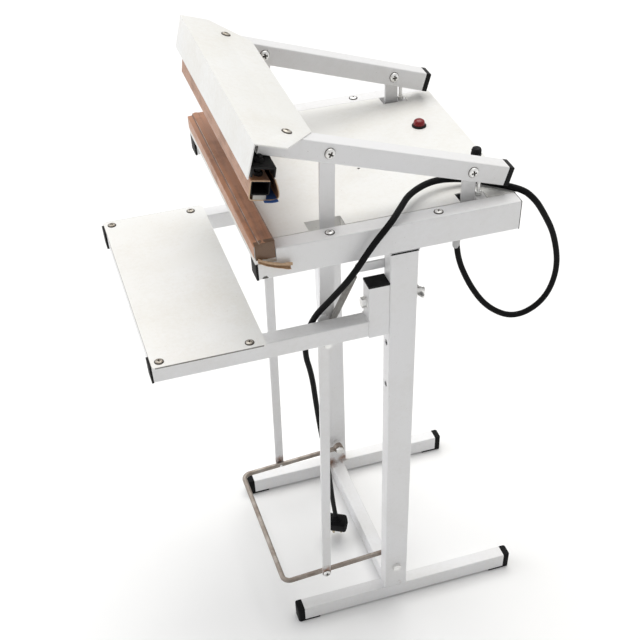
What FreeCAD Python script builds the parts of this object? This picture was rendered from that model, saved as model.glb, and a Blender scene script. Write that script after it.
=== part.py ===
import FreeCAD, Part
import math
import os
import re
import Sketcher

from FreeCAD import Placement, Rotation, Vector

# Foot-operated bag sealer. Millimetres, +Z up, +Y to the back, +X to the operator's right.
# The origin is on the floor, below the middle of the machine's outline.
# Side to side, places are measured from the machine's middle. Front to back they are
# measured from the middle of the uprights, heights from the floor.

SIZES = [
    # frame tubes and feet
    ("frame_half", 185.0, "machine's middle to the outer face of a side frame"),
    ("tube_thick", 25.0, "narrow side of every frame tube"),
    ("tube_wall", 1.5, "wall of every tube"),
    ("tube_corner", 2.0, "outer corner radius of every tube"),
    ("sole_thick", 3.0, "rubber tongue below a floor runner"),
    ("sole_long", 28.0, "length of that tongue"),
    ("runner_tall", 30.0, "height of a floor runner"),
    ("runner_front", 172.0, "upright's middle to the front end of a runner"),
    ("runner_back", 214.0, "upright's middle to the back end of a runner"),
    ("foot_block", 12.0, "rubber block beyond the end of a runner"),
    ("cap_thick", 3.0, "plate of a push-in end cap"),
    ("cap_plug", 9.0, "depth of a cap's plug inside a tube"),
    ("cap_gap", 0.2, "play of a cap's plug in its tube"),
    ("upright_deep", 40.0, "upright from front to back"),
    ("upright_tall", 675.0, "upright from the runner to the side rail"),
    ("rail_tall", 40.0, "height of a side rail"),
    ("rail_short", 3.0, "front of the lower jaw ahead of the side rails"),
    ("rail_back", 162.0, "upright's middle to the back end of a side rail"),
    ("notch_deep", 18.0, "step in the rail's front end that the lower jaw sits in"),
    ("notch_play", 0.5, "play behind the lower jaw in that step"),
    ("rail_screw_front", 98.0, "upright's middle to the front rail screw"),
    ("rail_screw_back", 50.0, "upright's middle to the back rail screw"),
    # bag shelf
    ("clamp_deep", 30.0, "clamp tube from front to back"),
    ("clamp_low", 584.0, "lower end of a clamp tube"),
    ("clamp_tall", 78.0, "height of a clamp tube"),
    ("clamp_bolt_z", 635.0, "height of the shelf's clamping bolts"),
    ("hole_pitch", 74.0, "spacing of the shelf's height holes"),
    ("hole_bore", 9.0, "bore of the shelf's height holes"),
    ("bolt_m8", 8.0, "shank of a clamping or pedal bolt"),
    ("hex_m8", 7.5, "half the width over the corners of an M8 head"),
    ("head_m8", 5.5, "height of an M8 head"),
    ("washer_m8", 9.0, "radius of an M8 washer"),
    ("washer_thick", 1.6, "thickness of a washer"),
    ("wing_hub", 6.5, "radius of a wing nut's hub"),
    ("wing_long", 9.0, "length of a wing nut's hub"),
    ("wing_span", 17.0, "middle of a wing nut to the tip of a wing"),
    ("shelf_tube", 25.0, "side of the shelf's square tube"),
    ("shelf_rise", 2.0, "shelf tube above the clamp tube's lower end"),
    ("shelf_front", 352.0, "upright's middle to the front end of the shelf tubes"),
    ("shelf_back", 196.0, "upright's middle to the back edge of the shelf plate"),
    ("plate_over", 5.0, "side edge of the shelf plate beyond the side frames"),
    ("shelf_plate", 2.0, "thickness of the shelf plate"),
    ("plate_corner", 6.0, "corner radius of the shelf plate"),
    ("shelf_screw_in", 7.0, "shelf screws inside the side frames' outer faces"),
    ("shelf_screw_a", 12.0, "front ends of the shelf tubes to the front shelf screws"),
    ("shelf_screw_b", 21.0, "back edge of the shelf plate to the back shelf screws"),
    ("dome_radius", 5.0, "head radius of a dome screw"),
    ("dome_tall", 2.2, "head height of a dome screw"),
    ("screw_shank", 4.0, "shank of a dome screw"),
    ("screw_long", 9.0, "length of a dome screw's shank"),
    # table
    ("table_sheet", 1.5, "thickness of the table sheet"),
    ("table_play", 0.5, "play between the table sheet and the side rails"),
    ("table_back", 165.0, "upright's middle to the back of the table"),
    ("table_fold", 20.0, "depth of the table's folded back edge"),
    ("slot_wide", 22.0, "notch in the table beside a rail"),
    ("front_slot_a", 122.0, "upright's middle to the front end of a link's notch"),
    ("front_slot_b", 73.0, "upright's middle to the back end of a link's notch"),
    ("rear_slot_a", 86.0, "upright's middle to the front end of a post's notch"),
    ("rear_slot_b", 124.0, "upright's middle to the back end of a post's notch"),
    ("front_tube_deep", 25.0, "front cross tube from front to back"),
    ("front_tube_tall", 20.0, "height of the front cross tube"),
    ("box_half", 141.0, "machine's middle to the side of the electrical box"),
    ("box_front", 20.0, "upright's middle to the front of the electrical box"),
    ("box_low", 700.0, "underside of the electrical box"),
    ("box_sheet", 1.0, "sheet of the electrical box"),
    ("core_long", 62.0, "transformer core from side to side"),
    ("core_deep", 52.0, "transformer core from front to back"),
    ("core_tall", 43.0, "height of the transformer core"),
    ("coil_long", 38.0, "transformer winding from side to side"),
    ("coil_over", 11.0, "winding beyond the front and back of the core"),
    ("transformer_x", 31.0, "machine's middle to the transformer's middle"),
    ("transformer_y", 26.0, "upright's middle to the transformer's middle"),
    ("table_screw_y", 11.0, "upright's middle to the transformer's bolt"),
    ("lamp_x", 56.0, "machine's middle to the pilot lamp, to the left"),
    ("lamp_y", 111.0, "upright's middle to the pilot lamp"),
    ("lamp_flange", 10.0, "radius of the lamp's rim"),
    ("lamp_lens", 8.2, "radius of the lamp's lens"),
    ("lamp_rim_tall", 2.0, "height of the lamp's rim"),
    ("lamp_lens_tall", 8.0, "height of the lens above the rim"),
    ("lamp_tail", 5.0, "radius of the lamp's tail"),
    ("lamp_tail_long", 22.0, "length of the lamp's tail"),
    ("timer_x", 63.0, "machine's middle to the timer"),
    ("timer_y", 149.0, "upright's middle to the timer"),
    ("timer_side", 24.0, "timer body from side to side and front to back"),
    ("timer_tall", 26.0, "height of the timer body"),
    ("spindle_radius", 3.0, "radius of the timer's spindle"),
    ("knob_radius", 8.0, "radius of the timer knob"),
    ("knob_tall", 14.0, "height of the timer knob"),
    ("knob_lift", 3.0, "timer knob above the table"),
    ("turn_gap", 0.3, "play between two pieces that turn on each other"),
    # arms and posts
    ("arm_mid", 147.5, "machine's middle to the middle of an arm, post or strap"),
    ("arm_side", 25.0, "side of an arm's square tube"),
    ("arm_open", 16.8, "slope of the raised arms in degrees"),
    ("arm_stroke", 11.0, "angle that the arms come down in degrees"),
    ("pivot_y", 101.0, "upright's middle to the arms' pivots"),
    ("pivot_up", 38.0, "arms' pivots above the side rails"),
    ("arm_rear", 50.0, "arms' pivots to the back end of their tubes"),
    ("arm_over", 1.0, "front end of the arms' tubes ahead of the upper jaw's middle"),
    ("arm_cap", 8.0, "block of the arm's back cap"),
    ("link_reach", 200.0, "arms' pivots to the link bolts"),
    ("flat_thick", 4.0, "thickness of the flat bars"),
    ("flat_slot", 7.0, "width of the arm's slots for the flat bars"),
    ("arm_slot", 17.0, "half length of the arm's slots"),
    ("post_wide", 19.0, "width of a rear post"),
    ("post_low", 712.0, "lower end of a rear post"),
    ("bolt_m6", 6.0, "shank of an arm bolt"),
    ("head_m6", 5.5, "head radius of an arm bolt"),
    ("head_m6_tall", 3.5, "head height of an arm bolt"),
    ("stop_radius", 2.5, "radius of a stop stud"),
    ("stop_back", 15.0, "arms' pivots to the stop studs"),
    ("stop_top", 767.6, "top of the stop studs"),
    # links
    ("strap_wide", 20.0, "width of a link's upper strap"),
    ("strap_low", 292.0, "link bolt to the lower end of the strap"),
    ("tie_wide", 15.0, "width of a link's lower bar"),
    ("tie_high", 238.0, "link bolt to the upper end of the lower bar"),
    ("lap_a", 252.0, "link bolt to the upper lap bolt"),
    ("lap_b", 280.0, "link bolt to the lower lap bolt"),
    ("tie_step", 6.0, "lower bar's upper end in front of the strap's middle"),
    ("lap_radius", 2.5, "shank radius of a lap bolt"),
    ("lap_end", 158.8, "machine's middle to the outer end of the upper lap bolt"),
    ("tie_y", 119.5, "upright's middle to the pedal screws"),
    ("tie_screw", 2.5, "shank radius of a pedal screw"),
    ("tie_play", 1.5, "play of the pedal screw in the lower bar"),
    # jaws
    ("cover_wider", 9.0, "end of the jaw cover beyond the side frames"),
    ("cover_sheet", 1.5, "thickness of the jaw cover"),
    ("cover_lead", 19.0, "fold of the jaw cover ahead of the upper jaw's middle"),
    ("cover_square", 40.0, "depth of the cover's top before its slanted corners"),
    ("cover_deep", 87.5, "depth of the cover's top"),
    ("cover_narrow", 138.0, "half length of the cover's back edge"),
    ("cover_drop", 42.0, "depth of the cover's front flange"),
    ("cover_hold", 53.0, "fold of the jaw cover to its screws"),
    ("jaw_short", 1.0, "end of a jaw inside the side frames' outer faces"),
    ("jaw_lead", 12.0, "front of the lower jaw ahead of the upper jaw's middle"),
    ("low_deep", 27.0, "lower jaw from front to back"),
    ("low_tall", 28.0, "height of the lower jaw"),
    ("low_step_wide", 7.0, "width of the lower jaw's front step"),
    ("low_step_deep", 3.0, "depth of the lower jaw's front step"),
    ("wire_wide", 5.0, "width of the heating ribbon"),
    ("wire_thick", 0.5, "thickness of the heating ribbon"),
    ("cloth", 0.3, "thickness of the PTFE cloth"),
    ("jaw_tube", 17.0, "height of the upper jaw's tube"),
    ("jaw_tube_wide", 24.0, "upper jaw's tube from front to back"),
    ("jaw_mid", 289.0, "arms' pivots to the upper jaw's middle with the jaws closed"),
    ("pad_thick", 6.0, "thickness of the rubber strip below the upper jaw"),
    ("pad_wide", 16.0, "width of that rubber strip"),
    ("close_gap", 0.5, "gap left between the closed jaws"),
    ("carrier_deep", 30.0, "carrier channel from front to back"),
    ("carrier_top", 13.0, "carrier channel's top above the pivots, jaws closed"),
    ("carrier_sheet", 2.0, "sheet of the carrier channel"),
    ("carrier_tall", 12.0, "height of the carrier channel"),
    ("lug_tall", 22.0, "carrier's lugs above its top"),
    ("stud_radius", 3.0, "radius of a jaw stud"),
    ("stud_outer", 168.0, "machine's middle to the outer jaw studs"),
    ("stud_inner", 62.0, "machine's middle to the inner jaw studs"),
    ("stud_nut", 5.8, "radius of a jaw stud's nut"),
    ("stud_nut_tall", 5.0, "height of a jaw stud's nut"),
    # pedal
    ("rod_dia", 9.0, "diameter of the pedal rod"),
    ("rod_inner", 3.1, "middle of a pedal leg inside the middle of an arm"),
    ("rod_reach", 196.0, "pedal pivots to the pedal's front bar"),
    ("rod_bend", 14.0, "bend radius of the pedal's corners"),
    ("eye_radius", 9.0, "radius of the eye at the end of a pedal leg"),
    ("eye_thick", 10.0, "thickness of that eye"),
    ("pedal_z", 84.0, "height of the pedal's pivots"),
    ("pedal_fall", 13.0, "pedal's front bar below its pivots"),
    ("sleeve_radius", 7.0, "radius of the spacer sleeve beside the pedal's eye"),
    # return springs
    ("spring_x", 155.0, "machine's middle to a return spring"),
    ("spring_radius", 4.0, "mean radius of a return spring"),
    ("spring_wire", 1.6, "wire of a return spring"),
    ("spring_hook", 5.0, "mean radius of a spring's hooks"),
    ("spring_neck", 14.0, "middle of a spring's hook to its coils"),
    ("anchor_y", 54.0, "upright's middle to the springs' upper pins"),
    ("anchor_z", 680.0, "height of the springs' upper pins"),
    ("anchor_pin", 2.0, "radius of a spring's upper pin"),
    ("anchor_sheet", 3.0, "thickness of a spring anchor"),
    ("anchor_tall", 12.0, "height of a spring anchor"),
    ("anchor_bite", 6.0, "front of the uprights to the back of a spring anchor"),
    ("anchor_end", 3.0, "upper pin beyond the middle of the spring"),
    # mains cord
    ("cord_dia", 8.5, "diameter of the mains cord"),
    ("gland_x", 131.0, "machine's middle to the cord gland"),
    ("gland_y", 97.0, "upright's middle to the cord gland"),
    ("gland_radius", 8.0, "radius of the cord gland"),
    ("gland_tall", 14.0, "height of the cord gland"),
    ("plug_neck", 14.0, "length of the plug's neck"),
    ("plug_neck_radius", 9.0, "radius of the plug's neck where it meets the body"),
    ("plug_body", 32.0, "length of the plug's body"),
    ("plug_wide", 38.0, "width of the plug's body"),
    ("plug_deep", 27.0, "depth of the plug's body"),
    ("plug_corner", 6.0, "corner radius of the plug's body"),
    ("pin_radius", 2.4, "radius of a plug pin"),
    ("pin_long", 15.0, "length of a plug pin"),
    ("pin_apart", 19.0, "distance between the plug's side pins"),
    ("pin_front", 4.0, "side pins in front of the plug's middle"),
    ("pin_earth", 7.0, "earth pin behind the plug's middle"),
]

doc = FreeCAD.newDocument("FootSealer")
sheet = doc.addObject("Spreadsheet::Sheet", "Sheet")
for row, (alias, value, note) in enumerate(SIZES, start=1):
    sheet.set("A%d" % row, alias)
    sheet.set("B%d" % row, repr(value))
    sheet.setAlias("B%d" % row, alias)
    sheet.set("C%d" % row, note)
doc.recompute()
# Places that follow from the sizes, by name
PLACES = {
    "low_front": "(jaw_mid - pivot_y + jaw_lead)",
    "rail_front": "(jaw_mid - pivot_y + jaw_lead - rail_short)",
    "notch_back": "(jaw_mid - pivot_y + jaw_lead - low_deep - notch_play)",
    "front_tube_y": "(jaw_mid - pivot_y + jaw_lead - low_step_wide)",
    "arm_front": "(jaw_mid + arm_over)",
    "cover_front": "(jaw_mid + cover_lead)",
    "cover_side": "(jaw_mid + cover_lead - cover_square)",
    "cover_back": "(jaw_mid + cover_lead - cover_deep)",
    "cover_screw": "(jaw_mid + cover_lead - cover_hold)",
    "cover_half": "(frame_half + cover_wider)",
    "jaw_half": "(frame_half - jaw_short)",
    "rod_x": "(arm_mid - rod_inner)",
    "shelf_half": "(frame_half + plate_over)",
    "shelf_screw_x": "(frame_half - shelf_screw_in)",
    "shelf_screw_front": "(shelf_front - shelf_screw_a)",
    "shelf_screw_back": "(shelf_back + shelf_screw_b)",
}
PLACE_NAMES = re.compile(r"\b(" + "|".join(PLACES) + r")\b")
ALIASES = re.compile(r"\b(" + "|".join(sorted((row[0] for row in SIZES), key=len, reverse=True)) + r")\b")
PARTS = []
GROUPS = {}

# Places worked out from the sizes
MID_Y = "((shelf_front + cap_thick - runner_back - foot_block) / 2)"
INNER = "(frame_half - tube_thick)"
SIDE = "(frame_half - tube_thick / 2)"
RUNNER_TOP = "(sole_thick + runner_tall)"
RAIL_LOW = "(sole_thick + runner_tall + upright_tall)"
RAIL_TOP = "(sole_thick + runner_tall + upright_tall + rail_tall)"
JAW_SEAT = "(%s - notch_deep)" % RAIL_TOP
PIVOT_Z = "(%s + pivot_up)" % RAIL_TOP
LINK_Y = "(pivot_y - link_reach * cos(arm_open))"
LINK_Z = "(%s + link_reach * sin(arm_open))" % PIVOT_Z
TIE_Z = "(pedal_z - pedal_fall * tie_y / rod_reach)"
LINK_LONG = "sqrt((tie_y + %s)^2 + (%s - %s)^2)" % (LINK_Y, LINK_Z, TIE_Z)
LINK_TURN = "(-atan((tie_y + %s) / (%s - %s)) / 1 deg)" % (LINK_Y, LINK_Z, TIE_Z)
TIE_LONG = "(%s - tie_high)" % LINK_LONG
TIE_TURN = "(%s + atan(tie_step / %s) / 1 deg)" % (LINK_TURN, TIE_LONG)
SHELF_LOW = "(clamp_low + shelf_rise)"
SHELF_TOP = "(clamp_low + shelf_rise + shelf_tube)"
CROSS_FRONT = "(pivot_y + post_wide / 2)"
UNDER_TABLE = "(%s - table_sheet)" % RAIL_TOP
JAW_UNDER = "(%s - notch_deep + low_tall + cloth + close_gap - %s)" % (RAIL_TOP, PIVOT_Z)
JAW_TUBE_LOW = "(%s + pad_thick + 2 * cloth)" % JAW_UNDER

# Frames of reference: a point on the machine's middle plane and a turn about X in degrees
FRAMES = {
    "stand": ("0", "0", "0"),
    "arm": ("pivot_y", PIVOT_Z, "-arm_open"),
    "jaw": ("pivot_y", PIVOT_Z, "-arm_stroke"),
    "link": (LINK_Y, LINK_Z, LINK_TURN),
    "tie": ("-tie_y", TIE_Z, TIE_TURN),
    "pedal": ("0", "pedal_z", "(atan(pedal_fall / rod_reach) / 1 deg)"),
}
ACROSS = Rotation(Vector(0, 1, 0), 90)
BACK = Rotation(Vector(1, 0, 0), -90)
PLANES = {"x": "YZ_Plane", "y": "XZ_Plane", "z": "XY_Plane"}


def bound(text):
    """Turn a formula in size names into one that reads the sheet."""
    spelled = PLACE_NAMES.sub(lambda found: PLACES[found.group(1)], str(text))
    return ALIASES.sub(lambda found: "Sheet." + found.group(1), spelled)


def number(text):
    """Work out a formula in size names."""
    value = sheet.evalExpression(bound(text))
    return float(getattr(value, "Value", value))


def bind(item, **formulas):
    """Bind properties of a feature to formulas in size names."""
    for name, text in formulas.items():
        item.setExpression(name, bound(text))


def seat(item, frame, at=("0", "0", "0"), along="z"):
    """Place a feature at a point of a frame of reference, its own axis along x, y or z."""
    origin_y, origin_z, turn = FRAMES[frame]
    x, y, z = at
    item.Placement = Placement(Vector(), ACROSS if along == "x" else Rotation(Vector(1, 0, 0), 1))
    item.setExpression("Placement.Base.x", bound(x))
    flat = "%s + %s + (%s) * cos(%s) - (%s) * sin(%s)" % (MID_Y, origin_y, y, turn, z, turn)
    high = "%s + (%s) * sin(%s) + (%s) * cos(%s)" % (origin_z, y, turn, z, turn)
    item.setExpression("Placement.Base.y", bound(flat))
    item.setExpression("Placement.Base.z", bound(high))
    if along != "x":
        quarter = "-90" if along == "y" else "0"
        item.setExpression("Placement.Rotation.Angle", bound("(%s + %s) * 1 deg" % (turn, quarter)))


def keep(item, label):
    """Give a finished sub-part its name and put it on the export list."""
    item.Label = label
    PARTS.append(item)
    return item


def gather(item, label):
    """Put a piece into a sub-part that holds all the pieces of its kind."""
    GROUPS.setdefault(label, []).append(item)
    return item


def block(frame, size, at):
    """A box: its middle in x, its front and its underside are given."""
    item = doc.addObject("Part::Box", "Block")
    bind(item, Length=size[0], Width=size[1], Height=size[2])
    seat(item, frame, ("(%s) - (%s) / 2" % (at[0], size[0]), at[1], at[2]))
    return item


def round_bar(frame, radius, long, along, at):
    """A cylinder; along x its middle is given, along y or z its front or lower end."""
    item = doc.addObject("Part::Cylinder", "Round")
    bind(item, Radius=radius, Height=long)
    x = "(%s) - (%s) / 2" % (at[0], long) if along == "x" else at[0]
    seat(item, frame, (x, at[1], at[2]), along)
    return item


def hexagon(frame, radius, long, along, at):
    """A six-sided head or nut, placed like a cylinder."""
    item = doc.addObject("Part::Prism", "Hexagon")
    item.Polygon = 6
    bind(item, Circumradius=radius, Height=long)
    x = "(%s) - (%s) / 2" % (at[0], long) if along == "x" else at[0]
    seat(item, frame, (x, at[1], at[2]), along)
    return item


def dome(frame, radius, tall, at):
    """A low dome head: a cone frustum under a smaller one."""
    item = doc.addObject("Part::Cone", "Dome")
    bind(item, Radius1=radius, Radius2="(%s) * 0.55" % radius, Height=tall)
    seat(item, frame, at)
    return item


def join(*items):
    """Fuse solids that belong to one piece."""
    item = doc.addObject("Part::MultiFuse", "Join")
    item.Shapes = list(items)
    return item


def less(base, *tools):
    """Take tools away from a solid."""
    for tool in tools:
        item = doc.addObject("Part::Cut", "Less")
        item.Base = base
        item.Tool = tool
        base = item
    return base


def together(*items):
    """Group separate solids of the same kind in one sub-part."""
    item = doc.addObject("Part::Compound", "Together")
    item.Links = list(items)
    return item


def new_body(frame):
    """An empty body whose own axes are those of a frame of reference."""
    body = doc.addObject("PartDesign::Body", "Body")
    seat(body, frame)
    return body


def sketch_on(body, along, at):
    """A sketch across one axis; it sits at a point given in the body's frame."""
    sketch = body.newObject("Sketcher::SketchObject", "Profile")
    plane = [item for item in body.Origin.OriginFeatures if item.Role == PLANES[along]][0]
    sketch.AttachmentSupport = [(plane, "")]
    sketch.MapMode = "FlatFace"
    x, y, z = at
    offsets = {"x": (y, z, x), "y": (x, z, "-(%s)" % y), "z": (x, y, z)}[along]
    for axis, text in zip("xyz", offsets):
        sketch.setExpression("AttachmentOffset.Base." + axis, bound(text))
    return sketch


def draw_rectangle(sketch, wide, tall):
    """A rectangle centred on the sketch, both sides bound to formulas."""
    half_w = number(wide) / 2.0
    half_t = number(tall) / 2.0
    first = sketch.GeometryCount
    corners = [Vector(-half_w, -half_t, 0), Vector(half_w, -half_t, 0),
               Vector(half_w, half_t, 0), Vector(-half_w, half_t, 0)]
    for index in range(4):
        sketch.addGeometry(Part.LineSegment(corners[index], corners[(index + 1) % 4]), False)
    for index in range(4):
        sketch.addConstraint(Sketcher.Constraint("Coincident", first + index, 2, first + (index + 1) % 4, 1))
    for index in (0, 2):
        sketch.addConstraint(Sketcher.Constraint("Horizontal", first + index))
        sketch.addConstraint(Sketcher.Constraint("Vertical", first + index + 1))
    sketch.addConstraint(Sketcher.Constraint("Symmetric", first, 1, first + 2, 1, -1, 1))
    across = sketch.addConstraint(Sketcher.Constraint("DistanceX", first, 1, first, 2, 2 * half_w))
    sketch.setExpression("Constraints[%d]" % across, bound(wide))
    up = sketch.addConstraint(Sketcher.Constraint("DistanceY", first + 1, 1, first + 1, 2, 2 * half_t))
    sketch.setExpression("Constraints[%d]" % up, bound(tall))


def pad(body, sketch, long):
    """Draw a sketch out to a length."""
    item = body.newObject("PartDesign::Pad", "Drawn")
    item.Profile = sketch
    item.setExpression("Length", bound(long))
    sketch.Visibility = False
    return item


def round_edges(body, base, edges, radius):
    """Round some edges of the last feature of a body."""
    item = body.newObject("PartDesign::Fillet", "Rounding")
    item.Base = (base, ["Edge%d" % (index + 1) for index in edges])
    item.setExpression("Radius", bound(radius))
    return item


def tube(frame, along, wide, tall, long, at, wall="tube_wall"):
    """A rectangular tube with rounded outer corners, drawn out from its section's middle.

    Along x it runs to the right, along y to the front and along z upwards."""
    body = new_body(frame)
    sketch = sketch_on(body, along, at)
    draw_rectangle(sketch, wide, tall)
    draw_rectangle(sketch, "(%s) - 2 * %s" % (wide, wall), "(%s) - 2 * %s" % (tall, wall))
    drawn = pad(body, sketch, long)
    doc.recompute()
    middle = drawn.Shape.BoundBox.Center
    reach = drawn.Shape.BoundBox
    size = Vector(reach.XLength, reach.YLength, reach.ZLength) / 2.0
    axis = {"x": 0, "y": 1, "z": 2}[along]
    edges = []
    for index, edge in enumerate(drawn.Shape.Edges):
        span = edge.Vertexes[0].Point - edge.Vertexes[-1].Point
        off = edge.CenterOfMass - middle
        others = [number_axis for number_axis in range(3) if number_axis != axis]
        outside = all(abs(abs(off[other]) - size[other]) < 0.01 for other in others)
        if outside and abs(abs(span[axis]) - 2 * size[axis]) < 0.01:
            edges.append(index)
    round_edges(body, drawn, edges, "tube_corner")
    return body


def flat_bar(frame, wide, long, at, low_round=True):
    """A flat bar standing on edge to the side view, rounded at its upper end or both ends.

    The point is the middle of the upper round; the bar runs down from it."""
    body = new_body(frame)
    sketch = sketch_on(body, "x", ("(%s) - flat_thick / 2" % at[0], at[1], "(%s) - (%s) / 2" % (at[2], long)))
    draw_rectangle(sketch, wide, long)
    pad(body, sketch, "flat_thick")
    add_round(body, "(%s) / 2" % wide, "flat_thick", "x", at)
    if low_round:
        add_round(body, "(%s) / 2" % wide, "flat_thick", "x", (at[0], at[1], "(%s) - (%s)" % (at[2], long)))
    return body


def inside(body, kind, at, along):
    """Place a primitive in a body at a point of the body's frame."""
    turn = {"x": ACROSS, "y": BACK, "z": Rotation()}[along]
    item = body.newObject("PartDesign::" + kind, kind)
    item.Placement = Placement(Vector(), turn)
    for axis, text in zip("xyz", at):
        item.setExpression("Placement.Base." + axis, bound(text))
    return item


def add_round(body, radius, long, along, at, cut=False):
    """Add or take away a cylinder; along x its middle is given, else its front or lower end."""
    x = "(%s) - (%s) / 2" % (at[0], long) if along == "x" else at[0]
    kind = "SubtractiveCylinder" if cut else "AdditiveCylinder"
    item = inside(body, kind, (x, at[1], at[2]), along)
    bind(item, Radius=radius, Height=long)
    return item


def add_block(body, size, at, cut=False):
    """Add or take away a box; its middle in x, its front and its underside are given."""
    kind = "SubtractiveBox" if cut else "AdditiveBox"
    item = inside(body, kind, ("(%s) - (%s) / 2" % (at[0], size[0]), at[1], at[2]), "z")
    bind(item, Length=size[0], Width=size[1], Height=size[2])
    return item


def drill(body, radius, long, along, at):
    """Bore a hole."""
    return add_round(body, radius, long, along, at, cut=True)


def notch(body, size, at):
    """Cut a rectangular notch."""
    return add_block(body, size, at, cut=True)


def plug_cap(frame, wide, tall, at, thick="cap_thick", front=True):
    """A push-in cap on the end of a tube that runs from front to back.

    The point is the middle of the tube's end face."""
    inner_w = "(%s - 2 * tube_wall - 2 * cap_gap)" % wide
    inner_t = "(%s - 2 * tube_wall - 2 * cap_gap)" % tall
    plate_y = "(%s) - (%s)" % (at[1], thick) if front else at[1]
    plug_y = at[1] if front else "(%s) - cap_plug" % at[1]
    plate = block(frame, (wide, thick, tall), (at[0], plate_y, "(%s) - (%s) / 2" % (at[2], tall)))
    plug = block(frame, (inner_w, "cap_plug", inner_t), (at[0], plug_y, "(%s) - %s / 2" % (at[2], inner_t)))
    return join(plate, plug)


def pair(maker):
    """Build a piece for the right side and for the left side."""
    for name, sign in (("right", "1"), ("left", "-1")):
        maker(name, sign)


# The stand: two runners, a crossbar, two uprights and two side rails
def make_side_frame(name, sign):
    x = "%s * %s" % (sign, SIDE)
    runner_z = "sole_thick + runner_tall / 2"
    keep(tube("stand", "y", "tube_thick", "runner_tall", "runner_front + runner_back",
              (x, "runner_back", runner_z)), name + "_floor_runner")
    feet = []
    for end, front in (("-runner_front", True), ("runner_back", False)):
        out = "%s - foot_block" % end if front else end
        plug_y = end if front else "%s - cap_plug" % end
        sole_y = end if front else "%s - sole_long" % end
        rubber = block("stand", ("tube_thick", "foot_block", RUNNER_TOP), (x, out, "0"))
        corner = doc.addObject("Part::Fillet", "Foot")
        corner.Base = rubber
        doc.recompute()
        outer_y = rubber.Shape.BoundBox.YMin if front else rubber.Shape.BoundBox.YMax
        corner.Edges = [(index + 1, 4.0, 4.0) for index, edge in enumerate(rubber.Shape.Edges)
                        if abs(edge.CenterOfMass.y - outer_y) < 0.01 and edge.BoundBox.ZLength > 1.0]
        inner = "(tube_thick - 2 * tube_wall - 2 * cap_gap)"
        inner_t = "(runner_tall - 2 * tube_wall - 2 * cap_gap)"
        plug = block("stand", (inner, "cap_plug", inner_t), (x, plug_y, "%s - %s / 2" % (runner_z, inner_t)))
        tongue = block("stand", ("tube_thick", "sole_long", "sole_thick"), (x, sole_y, "0"))
        feet.append(join(corner, plug, tongue))
    gather(together(*feet), "rubber_feet")

    upright = tube("stand", "z", "tube_thick", "upright_deep", "upright_tall", (x, "0", RUNNER_TOP))
    for step in ("0", "1", "2"):
        drill(upright, "hole_bore / 2", "upright_deep * 2", "y",
              (x, "-upright_deep", "clamp_bolt_z - %s * hole_pitch" % step))
    drill(upright, "bolt_m8 / 2 + cap_gap", "tube_thick * 2", "x", (x, "0", "pedal_z"))
    keep(upright, name + "_upright")

    rail_z = "%s + rail_tall / 2" % RAIL_LOW
    rail = tube("stand", "y", "tube_thick", "rail_tall", "rail_front + rail_back", (x, "rail_back", rail_z))
    notch(rail, ("tube_thick * 2", "rail_front * 2 - notch_back", "notch_deep * 2"),
          (x, "-2 * rail_front", JAW_SEAT))
    for y in ("-rail_screw_front", "rail_screw_back"):
        drill(rail, "screw_shank / 2", "tube_wall * 4", "z", (x, y, "%s - tube_wall * 2" % RAIL_TOP))
    keep(rail, name + "_side_rail")
    low_tall = "(rail_tall - notch_deep)"
    front_plate = block("stand", ("tube_thick", "cap_thick", low_tall), (x, "-rail_front - cap_thick", RAIL_LOW))
    front_plug = block("stand", ("tube_thick - 2 * tube_wall - 2 * cap_gap", "cap_plug",
                                 "%s - tube_wall - 2 * cap_gap" % low_tall),
                       (x, "-rail_front", "%s + tube_wall + cap_gap" % RAIL_LOW))
    rear_plug = block("stand", ("tube_thick - 2 * tube_wall - 2 * cap_gap", "cap_plug",
                                "rail_tall - 2 * tube_wall - 2 * cap_gap"),
                      (x, "rail_back - cap_plug", "%s + tube_wall + cap_gap" % RAIL_LOW))
    gather(together(join(front_plate, front_plug), rear_plug), "frame_caps")
    screws = []
    for y in ("-rail_screw_front", "rail_screw_back"):
        head = dome("stand", "dome_radius", "dome_tall", (x, y, RAIL_TOP))
        shank = round_bar("stand", "screw_shank / 2", "screw_long", "z", (x, y, "%s - screw_long" % RAIL_TOP))
        screws.append(join(head, shank))
    gather(together(*screws), "dome_screws")


pair(make_side_frame)
keep(tube("stand", "x", "tube_thick", "runner_tall", "2 * %s" % INNER,
          ("-%s" % INNER, "0", "sole_thick + runner_tall / 2")), "floor_crossbar")
gather(tube("stand", "x", "front_tube_deep", "front_tube_tall", "2 * %s" % INNER,
          ("-%s" % INNER, "-front_tube_y + front_tube_deep / 2", "%s - front_tube_tall / 2" % JAW_SEAT)),
       "head_cross_tubes")
rear_tube = tube("stand", "x", "tube_thick", "tube_thick", "2 * %s" % INNER,
                 ("-%s" % INNER, "%s + tube_thick / 2" % CROSS_FRONT, "%s - tube_thick / 2" % UNDER_TABLE))
drill(rear_tube, "lamp_tail + turn_gap", "lamp_tail_long + turn_gap", "z", ("-lamp_x", "lamp_y", "%s - lamp_tail_long" % UNDER_TABLE))
gather(rear_tube, "head_cross_tubes")


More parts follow.
